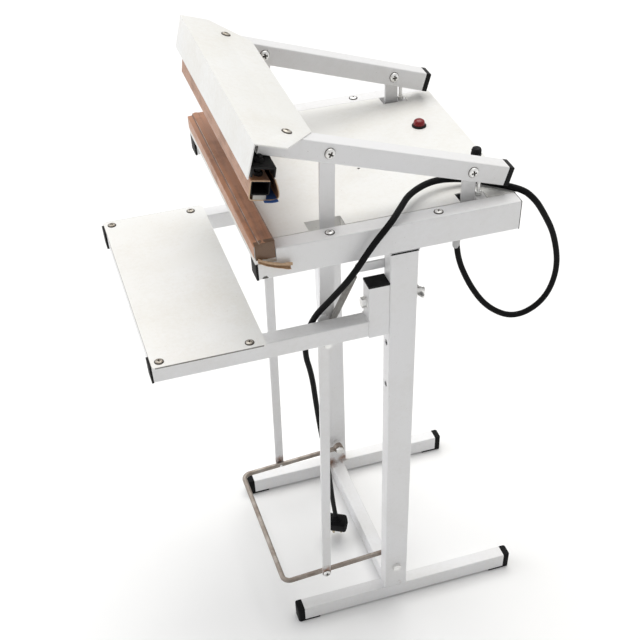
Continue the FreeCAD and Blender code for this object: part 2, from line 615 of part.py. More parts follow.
# The bag shelf and the clamps that hold it on the uprights
def make_shelf_side(name, sign):
    x = "%s * %s" % (sign, SIDE)
    clamp_back = "(-upright_deep / 2)"
    clamp_front = "(-upright_deep / 2 - clamp_deep)"
    clamp = tube("stand", "z", "tube_thick", "clamp_deep", "clamp_tall",
                 (x, "%s - clamp_deep / 2" % clamp_back, "clamp_low"))
    drill(clamp, "bolt_m8 / 2 + cap_gap", "clamp_deep * 2", "y", (x, "%s - clamp_deep / 2" % clamp_front, "clamp_bolt_z"))
    gather(clamp, "clamp_tubes")
    top = "(clamp_low + clamp_tall)"
    lid = block("stand", ("tube_thick", "clamp_deep", "cap_thick"), (x, clamp_front, top))
    stub = block("stand", ("tube_thick - 2 * tube_wall - 2 * cap_gap", "clamp_deep - 2 * tube_wall - 2 * cap_gap",
                           "cap_plug"), (x, "%s + tube_wall + cap_gap" % clamp_front, "%s - cap_plug" % top))
    gather(join(lid, stub), "frame_caps")
    head = hexagon("stand", "hex_m8", "head_m8", "y", (x, "%s - washer_thick - head_m8" % clamp_front, "clamp_bolt_z"))
    disc = round_bar("stand", "washer_m8", "washer_thick", "y", (x, "%s - washer_thick" % clamp_front, "clamp_bolt_z"))
    shank = round_bar("stand", "bolt_m8 / 2", "clamp_deep + upright_deep + washer_thick + wing_long + 6 * cap_gap + cap_thick",
                      "y", (x, clamp_front, "clamp_bolt_z"))
    back_disc = round_bar("stand", "washer_m8", "washer_thick", "y", (x, "upright_deep / 2", "clamp_bolt_z"))
    gather(join(head, disc, shank, back_disc), "frame_bolts")
    nut_y = "(upright_deep / 2 + washer_thick + turn_gap)"
    wing = new_body("stand")
    add_round(wing, "wing_hub", "wing_long", "y", (x, nut_y, "clamp_bolt_z"))
    for side, lift in (("1", "1"), ("-1", "1")):
        add_block(wing, ("wing_span - wing_hub / 2", "wing_long / 3", "wing_hub * 1.5"),
                  ("%s + %s * (wing_span + wing_hub / 2) / 2" % (x, side), "%s + wing_long / 3" % nut_y,
                   "clamp_bolt_z - wing_hub / 4"))
    drill(wing, "bolt_m8 / 2 + turn_gap", "wing_long * 2", "y", (x, "%s - wing_long / 2" % nut_y, "clamp_bolt_z"))
    keep(wing, name + "_wing_nut")

    shelf_z = "%s + shelf_tube / 2" % SHELF_LOW
    side_tube = tube("stand", "y", "tube_thick", "shelf_tube", "shelf_front + %s" % clamp_front,
                     (x, clamp_front, shelf_z))
    for y in ("-shelf_screw_front", "-shelf_screw_back"):
        drill(side_tube, "screw_shank / 2", "tube_wall * 4", "z",
              ("%s * shelf_screw_x" % sign, y, "%s - tube_wall * 2" % SHELF_TOP))
    gather(side_tube, "shelf_frame")
    gather(plug_cap("stand", "tube_thick", "shelf_tube", (x, "-shelf_front", shelf_z)), "frame_caps")


pair(make_shelf_side)
gather(tube("stand", "x", "shelf_tube", "shelf_tube", "2 * %s" % INNER,
            ("-%s" % INNER, "-shelf_front + shelf_tube / 2", "%s + shelf_tube / 2" % SHELF_LOW)), "shelf_frame")
plate = new_body("stand")
plate_deep = "(shelf_front - shelf_back)"
plate_sketch = sketch_on(plate, "z", ("0", "-(shelf_front + shelf_back) / 2", SHELF_TOP))
draw_rectangle(plate_sketch, "2 * shelf_half", plate_deep)
plate_pad = pad(plate, plate_sketch, "shelf_plate")
doc.recompute()
upright_edges = [index for index, edge in enumerate(plate_pad.Shape.Edges) if edge.BoundBox.ZLength > 1.0]
round_edges(plate, plate_pad, upright_edges, "plate_corner")
shelf_screws = []
for sign in ("1", "-1"):
    for y in ("-shelf_screw_front", "-shelf_screw_back"):
        spot = ("%s * shelf_screw_x" % sign, y)
        drill(plate, "screw_shank / 2", "shelf_plate * 3", "z", spot + ("%s - shelf_plate" % SHELF_TOP,))
        shelf_screws.append(join(
            dome("stand", "dome_radius", "dome_tall", spot + ("%s + shelf_plate" % SHELF_TOP,)),
            round_bar("stand", "screw_shank / 2", "screw_long", "z",
                      spot + ("%s + shelf_plate - screw_long" % SHELF_TOP,))))
keep(plate, "shelf_plate")
gather(together(*shelf_screws), "dome_screws")

# The table with its folded edges and the notches that posts and links pass through
table = new_body("stand")
table_wide = "(2 * (%s - table_play))" % INNER
table_front = "(low_front - low_deep - table_play)"
table_deep = "(%s + table_back)" % table_front
table_sketch = sketch_on(table, "z", ("0", "(table_back - %s) / 2" % table_front, UNDER_TABLE))
draw_rectangle(table_sketch, table_wide, table_deep)
pad(table, table_sketch, "table_sheet")
add_block(table, (table_wide, "table_sheet", "table_fold"),
          ("0", "table_back - table_sheet", "%s - table_fold" % RAIL_TOP))
add_block(table, (table_wide, "table_sheet", "%s - %s" % (RAIL_TOP, JAW_SEAT)),
          ("0", "-%s" % table_front, JAW_SEAT))
for sign in ("1", "-1"):
    slot_x = "%s * (%s - slot_wide / 2)" % (sign, INNER)
    for front, back in (("-front_slot_a", "-front_slot_b"), ("rear_slot_a", "rear_slot_b")):
        notch(table, ("slot_wide", "(%s) - (%s)" % (back, front), "table_sheet * 4"),
              (slot_x, front, "%s - table_sheet * 2" % UNDER_TABLE))
drill(table, "screw_shank / 2", "table_sheet * 4", "z", ("transformer_x", "-table_screw_y", "%s - table_sheet" % UNDER_TABLE))
drill(table, "lamp_tail + turn_gap", "table_sheet * 4", "z", ("-lamp_x", "lamp_y", "%s - table_sheet" % UNDER_TABLE))
drill(table, "spindle_radius + turn_gap", "table_sheet * 4", "z", ("timer_x", "timer_y", "%s - table_sheet" % UNDER_TABLE))
keep(table, "table_sheet")

# Electrical parts on and below the table
tray = new_body("stand")
tray_back = CROSS_FRONT
tray_deep = "(box_front + %s)" % tray_back
add_block(tray, ("2 * box_half", tray_deep, "box_sheet"), ("0", "-box_front", "box_low"))
for sign in ("1", "-1"):
    add_block(tray, ("box_sheet", tray_deep, "%s - box_low" % UNDER_TABLE),
              ("%s * (box_half - box_sheet / 2)" % sign, "-box_front", "box_low"))
for y in ("-box_front", "%s - box_sheet" % tray_back):
    add_block(tray, ("2 * box_half", "box_sheet", "%s - box_low" % UNDER_TABLE), ("0", y, "box_low"))
drill(tray, "gland_radius * 0.6", "box_sheet * 4", "z", ("gland_x", "gland_y", "box_low - box_sheet"))
drill(tray, "lamp_tail + turn_gap", "lamp_tail_long + turn_gap", "z", ("-lamp_x", "lamp_y", "%s - lamp_tail_long" % UNDER_TABLE))
keep(tray, "electrical_box")
core_low = "(box_low + box_sheet)"
core = new_body("stand")
add_block(core, ("core_long", "core_deep", "core_tall"),
          ("transformer_x", "transformer_y - core_deep / 2", core_low))
notch(core, ("coil_long", "core_deep * 2", "core_tall * 0.5"),
      ("transformer_x", "transformer_y - core_deep", "%s + core_tall * 0.25" % core_low))
drill(core, "screw_shank / 2", "core_tall * 2", "z", ("transformer_x", "-table_screw_y", core_low))
keep(core, "transformer_core")
coil = block("stand", ("coil_long", "core_deep + 2 * coil_over", "core_tall * 0.5"),
             ("transformer_x", "transformer_y - core_deep / 2 - coil_over", "%s + core_tall * 0.25" % core_low))
keep(coil, "transformer_winding")
terminals = new_body("stand")
add_block(terminals, ("core_long", "timer_side", "timer_side * 0.6"),
          ("-core_long", "transformer_y - timer_side / 2", core_low))
for step in ("-1.5", "-0.5", "0.5", "1.5"):
    drill(terminals, "screw_shank / 2", "timer_side", "z",
          ("-core_long + %s * core_long / 4" % step, "transformer_y", "%s + timer_side * 0.3" % core_low))
gather(terminals, "switchgear")
switch_x = "(%s - slot_wide - timer_side / 3)" % INNER
switch = join(
    block("stand", ("timer_side / 2", "timer_side", "timer_side * 0.7"),
          (switch_x, "-front_slot_b + timer_side / 4", "%s - timer_side" % UNDER_TABLE)),
    block("stand", ("timer_side / 2", "flat_thick", "timer_side * 0.4"),
          (switch_x, "-front_slot_b + timer_side / 2", "%s - timer_side * 0.4" % UNDER_TABLE)))
gather(switch, "switchgear")
screw_head = dome("stand", "dome_radius", "dome_tall", ("transformer_x", "-table_screw_y", RAIL_TOP))
screw_shank = round_bar("stand", "screw_shank / 2 - cap_gap", "screw_long", "z",
                        ("transformer_x", "-table_screw_y", "%s - screw_long" % RAIL_TOP))
gather(join(screw_head, screw_shank), "dome_screws")
rim = round_bar("stand", "lamp_flange", "lamp_rim_tall", "z", ("-lamp_x", "lamp_y", RAIL_TOP))
tail = round_bar("stand", "lamp_tail", "lamp_tail_long", "z", ("-lamp_x", "lamp_y", "%s - lamp_tail_long" % RAIL_TOP))
keep(join(rim, tail), "pilot_lamp_holder")
lens_z = "%s + lamp_rim_tall" % RAIL_TOP
keep(join(round_bar("stand", "lamp_lens", "lamp_lens_tall * 0.5", "z", ("-lamp_x", "lamp_y", lens_z)),
          dome("stand", "lamp_lens", "lamp_lens_tall * 0.5", ("-lamp_x", "lamp_y", "%s + lamp_lens_tall * 0.5" % lens_z))),
     "pilot_lamp_lens")
timer = join(
    block("stand", ("timer_side", "timer_side", "timer_tall"),
          ("timer_x", "timer_y - timer_side / 2", "%s - timer_tall" % UNDER_TABLE)),
    round_bar("stand", "spindle_radius", "knob_lift + table_sheet + knob_tall / 2", "z",
              ("timer_x", "timer_y", UNDER_TABLE)))
keep(timer, "seal_timer")
knob = new_body("stand")
knob_z = "(%s + knob_lift)" % RAIL_TOP
add_round(knob, "knob_radius", "knob_tall", "z", ("timer_x", "timer_y", knob_z))
drill(knob, "spindle_radius + turn_gap", "knob_tall * 0.5 + turn_gap", "z", ("timer_x", "timer_y", knob_z))
notch(knob, ("spindle_radius / 2", "knob_radius", "spindle_radius / 2"),
      ("timer_x", "timer_y - knob_radius", "%s + knob_tall - spindle_radius / 2" % knob_z))
keep(knob, "timer_knob")
gland = new_body("stand")
gland_low = "(box_low - gland_tall)"
add_round(gland, "gland_radius", "gland_tall", "z", ("gland_x", "gland_y", gland_low))
add_round(gland, "gland_radius * 0.6 - cap_gap", "box_sheet * 4", "z", ("gland_x", "gland_y", "box_low"))
keep(gland, "cord_gland")


# Rear posts that carry the arms, and the studs the raised arms rest on
def make_post(name, sign):
    x = "%s * arm_mid" % sign
    post = flat_bar("stand", "post_wide", "%s - post_low" % PIVOT_Z, (x, "pivot_y", PIVOT_Z), low_round=False)
    drill(post, "bolt_m6 / 2", "flat_thick * 3", "x", (x, "pivot_y", PIVOT_Z))
    gather(post, "rear_posts")
    stud_y = "(pivot_y + stop_back)"
    stud = join(round_bar("stand", "stop_radius", "stop_top - %s" % UNDER_TABLE, "z", (x, stud_y, UNDER_TABLE)),
                hexagon("stand", "stop_radius * 2", "stop_radius * 1.6", "z", (x, stud_y, UNDER_TABLE)))
    gather(stud, "arm_fixings")
    long = "arm_side + 2 * head_m6_tall"
    bolt = join(round_bar("stand", "bolt_m6 / 2", long, "x", (x, "pivot_y", PIVOT_Z)),
                hexagon("stand", "head_m6", "head_m6_tall - turn_gap", "x",
                        ("%s + %s * (arm_side + head_m6_tall + turn_gap) / 2" % (x, sign), "pivot_y", PIVOT_Z)),
                hexagon("stand", "head_m6", "head_m6_tall - turn_gap", "x",
                        ("%s - %s * (arm_side + head_m6_tall + turn_gap) / 2" % (x, sign), "pivot_y", PIVOT_Z)))
    gather(bolt, "arm_fixings")


pair(make_post)


# The pressing arms
def make_arm(name, sign):
    x = "%s * arm_mid" % sign
    arm = tube("arm", "y", "arm_side", "arm_side", "arm_rear + arm_front", (x, "arm_rear", "0"))
    for y in ("0", "-link_reach"):
        notch(arm, ("flat_slot", "2 * arm_slot", "arm_side / 2"),
              (x, "%s - arm_slot" % y, "-arm_side"))
        radius = "bolt_m6 / 2 + turn_gap" if y == "0" else "bolt_m6 / 2"
        drill(arm, radius, "arm_side * 2", "x", (x, y, "0"))
    drill(arm, "screw_shank / 2", "arm_side / 2", "z", (x, "-cover_screw", "0"))
    for y in ("0", "-link_reach"):
        notch(arm, ("flat_slot", "2 * arm_slot", "tube_wall * 2"), (x, "%s - arm_slot" % y, "-arm_side / 2 - tube_wall"))
    keep(arm, name + "_arm")
    gather(plug_cap("arm", "arm_side", "arm_side", (x, "arm_rear", "0"), "arm_cap", front=False), "arm_caps")
    bolt = join(round_bar("arm", "bolt_m6 / 2", "arm_side + 2 * head_m6_tall", "x", (x, "-link_reach", "0")),
                hexagon("arm", "head_m6", "head_m6_tall", "x",
                        ("%s + %s * (arm_side + head_m6_tall) / 2" % (x, sign), "-link_reach", "0")),
                hexagon("arm", "head_m6", "head_m6_tall", "x",
                        ("%s - %s * (arm_side + head_m6_tall) / 2" % (x, sign), "-link_reach", "0")))
    gather(bolt, "link_bolts")


pair(make_arm)

# Jaw cover: a bent sheet with slanted back corners
cover = new_body("arm")
cover_sketch = sketch_on(cover, "z", ("0", "-(cover_front + cover_back) / 2", "arm_side / 2"))
draw_rectangle(cover_sketch, "2 * cover_half", "cover_front - cover_back")
pad(cover, cover_sketch, "cover_sheet")
add_block(cover, ("2 * cover_half", "cover_sheet", "cover_drop"),
          ("0", "-cover_front", "arm_side / 2 + cover_sheet - cover_drop"))
for sign in ("1", "-1"):
    cut_x = "%s * cover_half" % sign
    slant = sketch_on(cover, "z", ("0", "0", "arm_side / 2 - cover_sheet"))
    points = [(cut_x, "-cover_side"), ("%s * cover_narrow" % sign, "-cover_back"),
              ("%s * cover_narrow" % sign, "-cover_back + cover_sheet * 2"), ("%s * (cover_half + cover_sheet)" % sign, "-cover_back + cover_sheet * 2"),
              ("%s * (cover_half + cover_sheet)" % sign, "-cover_side")]
    spots = [Vector(number(x), number(y), 0) for x, y in points]
    count = len(spots)
    for index in range(count):
        slant.addGeometry(Part.LineSegment(spots[index], spots[(index + 1) % count]), False)
    for index in range(count):
        slant.addConstraint(Sketcher.Constraint("Coincident", index, 2, (index + 1) % count, 1))
    for index, (x, y) in enumerate(points):
        for kind, text in (("DistanceX", x), ("DistanceY", y)):
            made = slant.addConstraint(Sketcher.Constraint(kind, -1, 1, index, 1, number(text)))
            slant.setExpression("Constraints[%d]" % made, bound(text))
    pocket = cover.newObject("PartDesign::Pocket", "Slanted")
    pocket.Profile = slant
    pocket.Reversed = True
    bind(pocket, Length="cover_sheet * 4")
for sign in ("1", "-1"):
    drill(cover, "screw_shank / 2", "cover_sheet * 3", "z", ("%s * arm_mid" % sign, "-cover_screw", "arm_side / 2 - cover_sheet"))
keep(cover, "jaw_cover")
cover_screws = []
for sign in ("1", "-1"):
    x = "%s * arm_mid" % sign
    cover_screws.append(join(
        dome("arm", "dome_radius", "dome_tall", (x, "-cover_screw", "arm_side / 2 + cover_sheet")),
        round_bar("arm", "screw_shank / 2", "screw_long", "z",
                  (x, "-cover_screw", "arm_side / 2 + cover_sheet - screw_long"))))
keep(together(*cover_screws), "cover_screws")

# Upper jaw, hung level on its carrier below the arms
carrier = new_body("jaw")
carrier_front = "(-jaw_mid - carrier_deep / 2 + 2)"
add_block(carrier, ("2 * jaw_half", "carrier_deep", "carrier_sheet"),
          ("0", carrier_front, "carrier_top - carrier_sheet"))
for y in (carrier_front, "%s + carrier_deep - carrier_sheet" % carrier_front):
    add_block(carrier, ("2 * jaw_half", "carrier_sheet", "carrier_tall"), ("0", y, "carrier_top - carrier_tall"))
lug_x = "(arm_mid - arm_side / 2 - carrier_sheet)"
for sign in ("1", "-1"):
    add_block(carrier, ("2 * carrier_sheet", "carrier_deep * 0.6", "lug_tall + carrier_sheet"),
              ("%s * %s" % (sign, lug_x), "%s + carrier_deep * 0.4" % carrier_front, "carrier_top - carrier_sheet"))
for x in ("-stud_outer", "-stud_inner", "stud_inner", "stud_outer"):
    drill(carrier, "stud_radius", "carrier_sheet * 3", "z", (x, "-jaw_mid", "carrier_top - carrier_sheet * 2"))
keep(carrier, "jaw_carrier")
tube_top = "(%s + jaw_tube)" % JAW_TUBE_LOW
studs = []
for x in ("-stud_outer", "-stud_inner", "stud_inner", "stud_outer"):
    studs.append(join(
        round_bar("jaw", "stud_radius", "carrier_top + stud_nut_tall + cap_thick - %s" % tube_top, "z", (x, "-jaw_mid", tube_top)),
        hexagon("jaw", "stud_nut", "stud_nut_tall", "z", (x, "-jaw_mid", "carrier_top")),
        hexagon("jaw", "stud_nut", "stud_nut_tall", "z", (x, "-jaw_mid", tube_top))))
keep(together(*studs), "jaw_studs")
keep(tube("jaw", "x", "jaw_tube_wide", "jaw_tube", "2 * jaw_half",
          ("-jaw_half", "-jaw_mid", "%s + jaw_tube / 2" % JAW_TUBE_LOW)), "upper_jaw_tube")
strip = block("jaw", ("2 * jaw_half", "pad_wide", "pad_thick"),
              ("0", "-jaw_mid - pad_wide / 2", "%s + cloth" % JAW_UNDER))
keep(strip, "upper_jaw_rubber")
wrap_half = "(jaw_tube_wide / 2 + cloth)"
wrap_x = "2 * (jaw_half - table_play)"
wrap = join(
    block("jaw", (wrap_x, "cloth", "jaw_tube + cloth"), ("0", "-jaw_mid - %s" % wrap_half, "%s - cloth" % JAW_TUBE_LOW)),
    block("jaw", (wrap_x, "cloth", "jaw_tube + cloth"), ("0", "-jaw_mid + jaw_tube_wide / 2", "%s - cloth" % JAW_TUBE_LOW)),
    block("jaw", (wrap_x, "jaw_tube_wide + cloth", "cloth"), ("0", "-jaw_mid - %s" % wrap_half, "%s - cloth" % JAW_TUBE_LOW)))
keep(wrap, "upper_jaw_cloth")
keep(block("jaw", (wrap_x, "pad_wide + 4", "cloth"), ("0", "-jaw_mid - pad_wide / 2 - 2", JAW_UNDER)), "upper_jaw_tape")

# Lower jaw on the front ends of the side rails
lower = new_body("stand")
lower_top = "(%s + low_tall)" % JAW_SEAT
add_block(lower, ("2 * jaw_half", "low_deep", "low_tall"), ("0", "-low_front", JAW_SEAT))
notch(lower, ("2 * jaw_half", "low_step_wide", "low_step_deep"), ("0", "-low_front", "%s - low_step_deep" % lower_top))
wire_y = "(pivot_y - jaw_mid - wire_wide / 2)"
notch(lower, ("2 * jaw_half", "wire_wide", "wire_thick"), ("0", wire_y, "%s - wire_thick" % lower_top))
keep(lower, "lower_jaw_bar")
keep(block("stand", ("2 * jaw_half", "wire_wide - cap_gap", "wire_thick"),
           ("0", "%s + cap_gap / 2" % wire_y, "%s - wire_thick" % lower_top)), "heating_ribbon")
cloth_front = "(-low_front + low_step_wide)"
gather(block("stand", ("2 * (jaw_half - table_play)", "low_deep - low_step_wide", "cloth"),
           ("0", cloth_front, lower_top)), "lower_jaw_cloth")
gather(block("stand", ("cloth", "low_deep * 0.8", "notch_deep / 2"),
           ("frame_half + cloth / 2", "-low_front + low_deep * 0.2", "%s - notch_deep / 2" % JAW_SEAT)), "lower_jaw_cloth")


# Links from the arms down to the pedal
def make_link(name, sign):
    x = "%s * arm_mid" % sign
    tie_x = "%s * (arm_mid + flat_thick)" % sign
    strap = flat_bar("link", "strap_wide", "strap_low", (x, "0", "0"))
    drill(strap, "bolt_m6 / 2 + turn_gap", "flat_thick * 3", "x", (x, "0", "0"))
    for down in ("lap_a", "lap_b"):
        drill(strap, "lap_radius", "flat_thick * 3", "x", (x, "0", "-%s" % down))
    keep(strap, name + "_link_strap")
    tie = flat_bar("tie", "tie_wide", TIE_LONG, (tie_x, "0", TIE_LONG))
    drill(tie, "tie_screw + tie_play", "flat_thick * 3", "x", (tie_x, "0", "0"))
    lean = "atan(tie_step / %s)" % TIE_LONG
    for down in ("lap_a", "lap_b"):
        along = "(%s - %s)" % (LINK_LONG, down)
        drill(tie, "lap_radius", "flat_thick * 3", "x", (tie_x, "%s * sin(%s)" % (along, lean), "%s * cos(%s)" % (along, lean)))
    keep(tie, name + "_link_bar")
    inner_face = "(arm_mid - flat_thick / 2)"
    outer_face = "(arm_mid + flat_thick * 1.5)"
    bolts = []
    for down, end in (("lap_a", "lap_end"), ("lap_b", "(%s + head_m6_tall + 1)" % outer_face)):
        shank = round_bar("link", "lap_radius", "%s - %s" % (end, inner_face), "x",
                          ("%s * (%s + %s) / 2" % (sign, end, inner_face), "0", "-%s" % down))
        head = hexagon("link", "head_m6", "head_m6_tall", "x",
                       ("%s * (%s - head_m6_tall / 2)" % (sign, inner_face), "0", "-%s" % down))
        parts = [shank, head]
        if down == "lap_a":
            parts.append(round_bar("link", "lap_radius + 2", "1.2", "x", ("%s * (%s - 0.6)" % (sign, end), "0", "-%s" % down)))
        else:
            parts.append(hexagon("link", "head_m6", "head_m6_tall", "x",
                                 ("%s * (%s + head_m6_tall / 2)" % (sign, outer_face), "0", "-%s" % down)))
        bolts.append(join(*parts))
    keep(together(*bolts), name + "_lap_bolts")


pair(make_link)

# Pedal: one bent rod with an eye at the end of each leg
rod = new_body("pedal")
rod_r = "(rod_dia / 2)"
add_round(rod, rod_r, "2 * (rod_x - rod_bend)", "x", ("0", "-rod_reach", "0"))
for sign, start in (("1", 270), ("-1", 180)):
    bend = inside(rod, "AdditiveTorus", ("%s * (rod_x - rod_bend)" % sign, "-rod_reach + rod_bend", "0"), "z")
    bend.Placement = Placement(bend.Placement.Base, Rotation(Vector(0, 0, 1), start))
    bind(bend, Radius1="rod_bend", Radius2=rod_r)
    bend.Angle3 = 90
    add_round(rod, rod_r, "rod_reach - rod_bend", "y", ("%s * rod_x" % sign, "-rod_reach + rod_bend", "0"))
    add_round(rod, "eye_radius", "eye_thick", "x", ("%s * rod_x" % sign, "0", "0"))
tie_back = "(-tie_y / cos(atan(pedal_fall / rod_reach)))"
for sign in ("1", "-1"):
    drill(rod, "bolt_m8 / 2 + turn_gap", "rod_dia * 3", "x", ("%s * rod_x" % sign, "0", "0"))
    drill(rod, "tie_screw", "rod_dia * 3", "x", ("%s * rod_x" % sign, tie_back, "0"))
keep(rod, "pedal_rod")


def make_pedal_fixings(name, sign):
    outer = "(arm_mid + flat_thick * 1.5)"
    inner = "(rod_x - rod_dia / 2)"
    low = "(%s - head_m6_tall)" % inner
    high = "(%s + turn_gap + head_m6_tall)" % outer
    screw = join(round_bar("pedal", "tie_screw", "%s - %s" % (high, low), "x",
                           ("%s * (%s + %s) / 2" % (sign, high, low), tie_back, "0")),
                 hexagon("pedal", "head_m6", "head_m6_tall", "x",
                         ("%s * (%s - head_m6_tall / 2)" % (sign, high), tie_back, "0")),
                 hexagon("pedal", "head_m6", "head_m6_tall", "x",
                         ("%s * (%s + head_m6_tall / 2)" % (sign, low), tie_back, "0")))
    gather(screw, "pedal_screws")
    eye_in = "(rod_x - eye_thick / 2 - turn_gap)"
    eye_out = "(rod_x + eye_thick / 2 + turn_gap)"
    nut = "(%s - head_m8)" % eye_in
    bolt = join(round_bar("stand", "bolt_m8 / 2", "frame_half - %s" % nut, "x",
                          ("%s * (frame_half + %s) / 2" % (sign, nut), "0", "pedal_z")),
                hexagon("stand", "hex_m8", "head_m8", "x", ("%s * (frame_half + head_m8 / 2)" % sign, "0", "pedal_z")),
                hexagon("stand", "hex_m8", "head_m8", "x", ("%s * (%s - head_m8 / 2)" % (sign, eye_in), "0", "pedal_z")),
                round_bar("stand", "sleeve_radius", "%s - %s" % (INNER, eye_out), "x",
                          ("%s * (%s + %s) / 2" % (sign, INNER, eye_out), "0", "pedal_z")))
    gather(bolt, "frame_bolts")


pair(make_pedal_fixings)


# Return springs, their upper anchors and their lower hooks
LAP_Y = "(%s + lap_a * sin(%s))" % (LINK_Y, LINK_TURN)
LAP_Z = "(%s - lap_a * cos(%s))" % (LINK_Z, LINK_TURN)
SPRING_LONG = "sqrt((%s + anchor_y)^2 + (anchor_z - %s)^2)" % (LAP_Y, LAP_Z)
SPRING_TURN = "(-atan((-anchor_y - %s) / (anchor_z - %s)) / 1 deg)" % (LAP_Y, LAP_Z)
FRAMES["spring"] = (LAP_Y, LAP_Z, SPRING_TURN)


def make_spring(name, sign):
    x = "%s * spring_x" % sign
    hook_wire = "(spring_wire / 2)"
    low_end = "spring_neck"
    top_end = "(%s - spring_neck)" % SPRING_LONG

    def ring(at):
        outer = round_bar("spring", "spring_hook + %s" % hook_wire, "spring_wire", "x", at)
        inner = round_bar("spring", "spring_hook - %s" % hook_wire, "spring_wire * 2", "x", at)
        return less(outer, inner)

    hook = join(ring((x, "0", "0")),
                block("spring", ("spring_wire", "spring_wire", "%s - spring_hook - turn_gap" % low_end),
                      (x, "-%s" % hook_wire, "spring_hook")))
    keep(hook, name + "_spring_hook")
    anchor = new_body("stand")
    plate_x = "%s * (%s - anchor_sheet / 2)" % (sign, INNER)
    add_block(anchor, ("anchor_sheet", "anchor_y + spring_hook - anchor_bite", "anchor_tall"),
              (plate_x, "-anchor_y - spring_hook", "anchor_z - anchor_tall / 2"))
    add_round(anchor, "anchor_pin", "%s - spring_x + anchor_end" % INNER, "x",
              ("%s * (%s + spring_x - anchor_end) / 2" % (sign, INNER), "-anchor_y", "anchor_z"))
    gather(anchor, "spring_anchors")
    coil_outer = round_bar("spring", "spring_radius + %s" % hook_wire, "%s - %s" % (top_end, low_end), "z", (x, "0", low_end))
    coil_inner = round_bar("spring", "spring_radius - %s" % hook_wire, "%s - %s" % (top_end, low_end), "z", (x, "0", low_end))
    shank = join(*[block("spring", ("spring_wire", "spring_radius * 2", "spring_wire"), (x, "-spring_radius", end))
                   for end in (low_end, "%s - spring_wire" % top_end)])
    upper = block("spring", ("spring_wire", "spring_wire", "%s - %s - spring_hook" % (SPRING_LONG, top_end)),
                  (x, "-%s" % hook_wire, top_end))
    keep(join(less(coil_outer, coil_inner), shank, upper, ring((x, "0", SPRING_LONG))), name + "_return_spring")


pair(make_spring)


# Mains cord: straight runs joined by tangent arcs, from the gland over the table to the floor
CORD_POINTS = [
    ("gland_x", "gland_y", "box_low - gland_tall"),
    ("gland_x", "gland_y", "655"),
    ("gland_x + 6", "gland_y + 21.5", "603"),
    ("gland_x + 14", "gland_y + 51.5", "561"),
    ("gland_x + 24", "gland_y + 93.5", "541"),
    ("gland_x + 31", "gland_y + 134.5", "566"),
    ("gland_x + 34", "gland_y + 147.5", "618"),
    ("gland_x + 35", "gland_y + 132.5", "676"),
    ("gland_x + 37", "gland_y + 108.5", "716"),
    ("gland_x + 38", "gland_y + 92.5", "738"),
    ("gland_x + 32", "gland_y + 74.5", "752.8"),
    ("gland_x - 2", "gland_y + 34.5", "752.5"),
    ("gland_x - 13", "gland_y + 4.5", "757"),
    ("gland_x - 12", "gland_y - 35.5", "762"),
    ("gland_x + 9", "gland_y - 75", "762"),
    ("frame_half - 15", "-2", "762"),
    ("frame_half + 12", "-24", "761"),
    ("frame_half + 13", "-50", "734"),
    ("frame_half + 10", "-76", "694"),
    ("frame_half - 9", "-97", "655"),
    ("frame_half - 32", "-124", "610"),
    ("frame_half - 46", "-133", "552"),
    ("frame_half - 59", "-119", "494"),
    ("frame_half - 73", "-111", "422"),
    ("frame_half - 90", "-100", "342"),
    ("frame_half - 110", "-87", "262"),
    ("frame_half - 133", "-76", "185"),
    ("frame_half - 157", "-66", "115"),
    ("frame_half - 171", "-58", "66"),
]


def pipe_path(points, share=0.45):
    """Join straight runs by tangent arcs; give the wire and the smallest radius."""
    edges = []
    smallest = None
    start = points[0]
    for index in range(1, len(points) - 1):
        before = points[index - 1] - points[index]
        after = points[index + 1] - points[index]
        run = min(before.Length, after.Length)
        into = before / before.Length
        out = after / after.Length
        turn = math.pi - into.getAngle(out)
        cut = share * run
        radius = cut / math.tan(turn / 2.0)
        smallest = radius if smallest is None else min(smallest, radius)
        first = points[index] + into * cut
        last = points[index] + out * cut
        half = into + out
        half = half / half.Length
        middle = points[index] + half * (radius / math.cos(turn / 2.0) - radius)
        if (first - start).Length > 0.001:
            edges.append(Part.LineSegment(start, first).toShape())
        edges.append(Part.Arc(first, middle, last).toShape())
        start = last
    edges.append(Part.LineSegment(start, points[-1]).toShape())
    return Part.Wire(edges), smallest


route = [Vector(number(x), number(y) + number(MID_Y), number(z)) for x, y, z in CORD_POINTS]
path, cord_bend = pipe_path(route)
cord_radius = number("cord_dia / 2")
ring_edge = Part.Circle(route[0], route[1] - route[0], cord_radius).toShape()
cord_shape = path.makePipeShell([Part.Wire([ring_edge])], True, False)
cord = doc.addObject("Part::Feature", "Cord")
cord.Shape = cord_shape
keep(cord, "mains_cord")
expected = math.pi * cord_radius ** 2 * path.Length
print("cord length %.1f, smallest bend %.1f, volume ratio %.4f" % (path.Length, cord_bend, cord_shape.Volume / expected))

